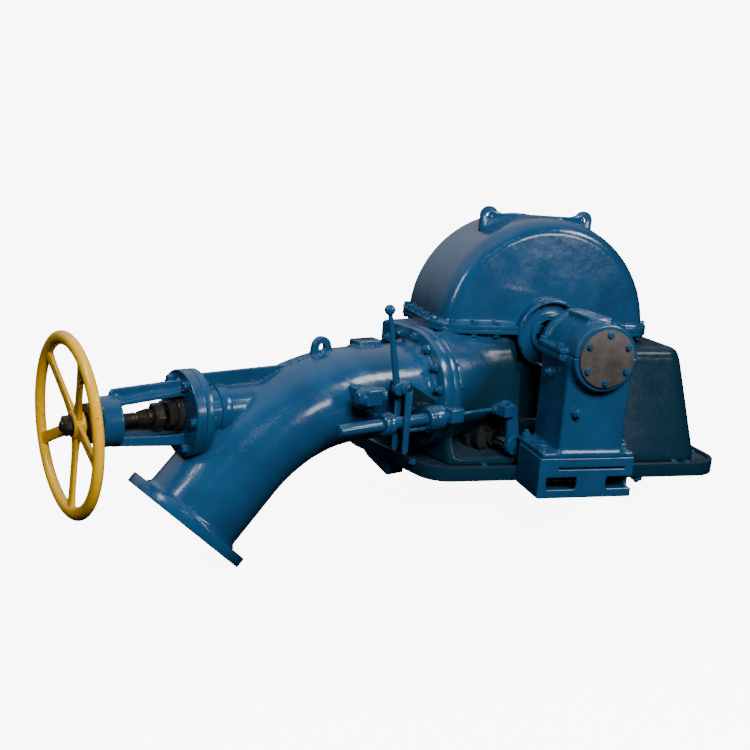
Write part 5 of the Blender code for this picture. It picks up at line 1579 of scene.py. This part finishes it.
pin_hole = circle(0.0118, (0.0, 0.0), 28)
link_hole = circle(0.0028, (-0.0003, -0.058), 12)
front_strap = plate(strap_outline(), [pin_hole, link_hole], -0.0344, -0.0276, "Y", 0.0012)
rear_strap = plate(strap_outline(), [pin_hole], 0.0228, 0.0284, "Y", 0.0010)
lever_hub = lathe([(-0.0260, 0.0120), (-0.0260, 0.0215), (-0.0235, 0.0238), (0.0200, 0.0238), (0.0226, 0.0215),
                   (0.0226, 0.0120)], "Y", segments=48, edge=0.0008)
lean = Matrix.Translation((-0.0281, 0.0, -0.0096)) @ Vector((-0.0532, 0.0, 0.2680)).to_track_quat("X", "Z").to_matrix().to_4x4()
lug = plate(rounded([(-0.047, -0.024), (-0.004, -0.024), (0.006, 0.022), (-0.043, 0.018)], 0.0165, 6), [],
            -0.0135, 0.0135, "Y", 0.0030)
handle = lathe([(0.016, 0.0), (0.016, 0.0125), (0.080, 0.0118), (0.180, 0.0098), (0.250, 0.0086), (0.257, 0.0080),
                (0.268, 0.0080), (0.268, 0.0)], "X", segments=36, edge=0.0)
handle.set_sharp_from_angle(angle=math.radians(50.0))
knob = lathe([(0.283 - 0.0182 * math.cos(a), 0.0182 * math.sin(a)) for a in (math.pi * k / 16 for k in range(17))],
             "X", segments=36, edge=0.0)
piece("lever_dressed", "lever",
      [(front_strap, LEVER, BLUE), (rear_strap, LEVER, BLUE), (lever_hub, LEVER, BLUE), (lug, LEVER, BLUE), (handle, LEVER @ lean, BLUE),
       (knob, LEVER @ lean, BLUE)], ["hand_lever"])

# %% Guide bar, link and rod end
GEAR = LINE @ Matrix.Translation((0.0, GEAR_T, BAR_W))
bar = lathe([(-1.1020, 0.0), (-1.1020, 0.0188), (-1.0992, 0.0214), (-0.6578, 0.0214), (-0.6552, 0.0190), (-0.6552, 0.0160),
             (-0.6300, 0.0160), (-0.6300, 0.0)], "X", segments=56, edge=0.0006)
block_shape = rounded([(-0.0270, -0.0255), (0.0270, -0.0255), (0.0270, 0.0255), (-0.0270, 0.0255)], 0.0060, 5)
clevis = plate(block_shape, [], -0.6330, -0.5750, "X", 0.0028)
clevis_neck = lathe([(-0.577, 0.0), (-0.577, 0.0185), (-0.567, 0.0150), (-0.562, 0.0130), (-0.562, 0.0)], "X",
                    segments=40, edge=0.0008)
link_core = lathe([(-0.564, 0.0), (-0.564, 0.0066), (-0.400, 0.0066), (-0.400, 0.0)], "X", segments=28, edge=0.0004)
link_thread = thread(0.0062, 0.0036, -0.480, -0.412, BLUE)
near_nut = lathe([(-0.5615, 0.0), (-0.5615, 0.0115), (-0.5605, 0.0128), (-0.5525, 0.0128), (-0.5515, 0.0115), (-0.5515, 0.0)],
                 "X", segments=6, edge=0.0005)
piece("guide_bar_dressed", "link",
      [(bar, GEAR, BLUE), (clevis, GEAR, BLUE), (clevis_neck, GEAR, BLUE), (link_core, GEAR, BLUE),
       (link_thread, GEAR, BLUE), (near_nut, GEAR, BLUE)], ["guide_bar"])
PIN_U = -0.344


def rod_end_skin(p):
    body = soft_union(round_bar(p, "Y", (PIN_U, 0.0), 0.0285, -0.013, 0.013, 0.004),
                      brick(p, (PIN_U - 0.030, -0.013, -0.019), (PIN_U + 0.004, 0.013, 0.0225), 0.005), 0.006)
    body = soft_union(body, round_bar(p, "X", (0.0, 0.0), 0.0115, -0.402, PIN_U - 0.020), 0.006)
    body = soft_union(body, brick(p, (PIN_U - 0.054, -0.056, -0.021), (PIN_U - 0.034, 0.010, 0.021), 0.004), 0.004)
    body = soft_union(body, brick(p, (PIN_U - 0.054, -0.057, -0.021), (PIN_U - 0.006, -0.0455, 0.021), 0.003), 0.003)
    body = carve(body, round_bar(p, "Z", (PIN_U - 0.008, 0.0), 0.0030, 0.017, 0.05), 0.001)
    return np.maximum(body, -round_bar(p, "Y", (PIN_U, 0.0), 0.0145, -0.1, 0.1, 0.001))


rod_end = cast_shell(rod_end_skin, (-0.406, -0.060, -0.032), (-0.312, 0.016, 0.032), 0.0019, 36000)
lock_nut = lathe([(-0.4137, 0.0), (-0.4137, 0.0135), (-0.4125, 0.0155), (-0.4030, 0.0155), (-0.4018, 0.0135), (-0.4018, 0.0)],
                 "X", segments=6, edge=0.0006)
piece("rod_end_dressed", "link", [(rod_end, GEAR, BLUE), (lock_nut, GEAR, BLUE)], ["rod_end"])

# %% Crank and stuffing box
CRANK = LINE @ Matrix.Translation((-0.320, GEAR_T, -0.180))


def crank_skin(p):
    sketch = [(-0.034, 0.004), (0.030, 0.004), (-0.0010, 0.142), (-0.0470, 0.142)]
    body = soft_union(slab_field(p, sketch, "Y", -0.0415, -0.0245, 0.003),
                      round_bar(p, "Y", (0.0, 0.0), 0.0370, -0.0475, -0.0222, 0.003), 0.010)
    body = soft_union(body, round_bar(p, "Y", (-0.024, 0.1405), 0.0232, -0.0410, -0.0250, 0.003), 0.006)
    return carve(body, round_bar(p, "Y", (0.0, 0.0), 0.0265, -0.09, -0.0462, 0.001), 0.001)


crank = cast_shell(crank_skin, (-0.052, -0.052, -0.041), (0.041, -0.018, 0.168), 0.0020, 44000)
shaft_face = lathe([(-0.0476, 0.0), (-0.0476, 0.0190), (-0.0466, 0.0205), (-0.0440, 0.0205), (-0.0440, 0.0)], "Y",
                   segments=44, edge=0.0004)
crank_pin = lathe([(-0.0425, 0.0), (-0.0425, 0.0085), (-0.0415, 0.0098), (0.0125, 0.0098), (0.0125, 0.0)], "Y",
                  (-0.024, 0.0, 0.140), 32, 0.0005)
piece("crank_dressed", "deflector_set", [(crank, CRANK, BLUE), (shaft_face, CRANK, BLUE), (crank_pin, CRANK, STEEL)],
      ["crank_arm"])
cross_shaft = lathe([(-0.0214, 0.0), (-0.0214, 0.0209), (0.4380, 0.0209), (0.4400, 0.0195), (0.4400, 0.0)], "Y",
                    segments=48, edge=0.0004)
piece("deflector_shaft_dressed", "deflector_set", [(cross_shaft, CRANK, STEEL)], ["deflector_shaft"])
box_seat = (-0.320, 0.0, -0.180)
stuffing = lathe([(-0.2050, 0.0221), (-0.2050, 0.0300), (-0.2020, 0.0330), (-0.1850, 0.0330), (-0.1830, 0.0400),
                  (-0.1830, 0.0660), (-0.1800, 0.0690), (-0.1660, 0.0690), (-0.1640, 0.0660), (-0.1640, 0.0600),
                  (-0.1240, 0.0600), (-0.1220, 0.0720), (-0.1190, 0.0750), (-0.0900, 0.0750), (-0.0880, 0.0720),
                  (-0.0560, 0.0720), (-0.0560, 0.0221)], "Y", box_seat, 64, 0.0010)
gland_studs = fasteners(around("Y", -0.1832, 0.0500, 4, math.radians(38.0), (-0.320, -0.180), -1.0), 0.017, 81, nut_pattern)
piece("stuffing_box_dressed", "casing", [(stuffing, LINE, DARK_GREY), (gland_studs, LINE, DARK_GREY)], ["stuffing_box"])

# %% [markdown]
# ## Nozzle, drain and what stays
#
# The nozzle's mouthpiece is turned, and so is the drain boss with its square-headed plug. Two plain
# solids are right as they are, the deflector's blade and the locating foot, so they only get a
# finish. Assigning a material to a solid's own slots changes nothing of its shape.

# %% Nozzle and drain
mouth = lathe([(-0.561, BORE_R - 0.018), (-0.561, BORE_R - 0.0016), (-0.520, BORE_R - 0.0016), (-0.480, 0.130),
               (-0.425, 0.094), (-0.370, 0.062), (-0.345, 0.052), (-0.345, 0.030), (-0.375, 0.040), (-0.425, 0.073),
               (-0.480, 0.110), (-0.530, BORE_R - 0.018)], "X", segments=80, edge=0.0012)
piece("mouthpiece_dressed", "casing", [(mouth, LINE, STEEL)], ["nozzle_mouthpiece"])
DRAIN = (0.343, -0.425)
drain = lathe([(0.0055, 0.0), (0.0055, 0.0218), (-0.0150, 0.0218), (-0.0180, 0.0190), (-0.0180, 0.0)], "Z",
              (DRAIN[0], DRAIN[1], 0.0), 40, 0.0010)
drain_plug = lathe([(-0.0178, 0.0), (-0.0178, 0.0120), (-0.0268, 0.0112), (-0.0278, 0.0100), (-0.0278, 0.0)], "Z",
                   (DRAIN[0], DRAIN[1], 0.0), 4, 0.0008)
piece("drain_dressed", "casing", [(drain, MACHINE, BLUE), (drain_plug, MACHINE, BLUE)], ["drain_boss"])
kept = {"deflector": STEEL, "locating_foot": BLUE}
for name, finish in kept.items():
    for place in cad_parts[name].material_slots:
        place.material = finish
print("kept as they are:", sorted(kept))

# %% [markdown]
# ## Floor and light
#
# The machine stands as in a workshop with one wide bright window behind the photographer and a dim
# ceiling. The window draws a white streak on every round part and lights whatever faces it, and the
# sides that face down or away go deep blue. So there is one big soft lamp at the front left, a weak
# one overhead, and an uneven backdrop: grey above, nearly black below. The floor is pale to the eye,
# but rays that bounce off the enamel do not see it, or it would fill every shadow from below.

# %% Floor
floor_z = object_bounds()[0][2] - 0.004
sheet_mesh = bpy.data.meshes.new("floor")
sheet_mesh.from_pydata([(-40.0, -40.0, floor_z), (40.0, -40.0, floor_z), (40.0, 40.0, floor_z), (-40.0, 40.0, floor_z)],
                       [], [(0, 1, 2, 3)])
floor = bpy.data.objects.new("floor", sheet_mesh)
bpy.context.scene.collection.objects.link(floor)
PALE, pale_tree, pale_skin = new_finish("pale_floor")
pale_skin.inputs["Base Color"].default_value = (0.90, 0.90, 0.90, 1.0)
pale_skin.inputs["Roughness"].default_value = 0.8
pale_skin.inputs["Emission Color"].default_value = (1.0, 1.0, 1.0, 1.0)
pale_skin.inputs["Emission Strength"].default_value = 8.0
floor.data.materials.append(PALE)
floor.visible_diffuse = False
floor.visible_glossy = False
print("floor at", round(floor_z, 4))

# %% Backdrop
world = bpy.data.worlds.new("studio")
world.use_nodes = True
bpy.context.scene.world = world
sky = world.node_tree
out = sky.nodes["World Output"]
seen = sky.nodes["Background"]
seen.inputs["Color"].default_value = (1.0, 1.0, 1.0, 1.0)
seen.inputs["Strength"].default_value = 8.5
dim = sky.nodes.new("ShaderNodeBackground")
way = sky.nodes.new("ShaderNodeTexCoord")
part = sky.nodes.new("ShaderNodeVectorMath")
part.operation = "DOT_PRODUCT"
part.inputs[1].default_value = (-0.22, 0.45, 0.865)
height = sky.nodes.new("ShaderNodeMapRange")
height.interpolation_type = "SMOOTHSTEP"
height.inputs["From Min"].default_value = 0.35
height.inputs["From Max"].default_value = 0.90
height.inputs["To Min"].default_value = 0.008
height.inputs["To Max"].default_value = 0.72
sky.links.new(way.outputs["Generated"], part.inputs[0])
sky.links.new(part.outputs["Value"], height.inputs["Value"])
sky.links.new(height.outputs[0], dim.inputs["Strength"])
dim.inputs["Color"].default_value = (0.86, 0.92, 1.0, 1.0)
which = sky.nodes.new("ShaderNodeLightPath")
choose = sky.nodes.new("ShaderNodeMixShader")
sky.links.new(which.outputs["Is Camera Ray"], choose.inputs["Fac"])
sky.links.new(dim.outputs[0], choose.inputs[1])
sky.links.new(seen.outputs[0], choose.inputs[2])
sky.links.new(choose.outputs[0], out.inputs["Surface"])
print("backdrop made")


# %% Lamps
def softbox(name, at, target, width, height, power, tint=(1.0, 1.0, 1.0)):
    lamp = bpy.data.lights.new(name, "AREA")
    lamp.shape = "RECTANGLE"
    lamp.size, lamp.size_y = width, height
    lamp.energy = power
    lamp.color = tint
    thing = bpy.data.objects.new(name, lamp)
    thing.visible_camera = False
    bpy.context.scene.collection.objects.link(thing)
    aim = Vector(target) - Vector(at)
    thing.matrix_world = Matrix.Translation(at) @ aim.to_track_quat("-Z", "Y").to_matrix().to_4x4()
    return thing


daylight = softbox("daylight", (-0.7, -4.2, 3.6), (-0.4, 0.2, 0.4), 2.4, 1.4, 425.0)
daylight.visible_glossy = False
window = softbox("window", (0.95, -1.95, 1.12), (-0.9, -0.1, 0.40), 0.80, 0.45, 14.0)
window.visible_diffuse = False
skylight = softbox("skylight", (1.9, -1.3, 2.7), (-0.9, 0.0, 0.4), 1.3, 0.7, 46.0)
skylight.visible_diffuse = False
side_window = softbox("side_window", (-2.9, -0.9, 2.0), (-0.4, 0.25, 0.7), 0.45, 1.2, 22.0)
side_window.visible_diffuse = False
print("lamps set")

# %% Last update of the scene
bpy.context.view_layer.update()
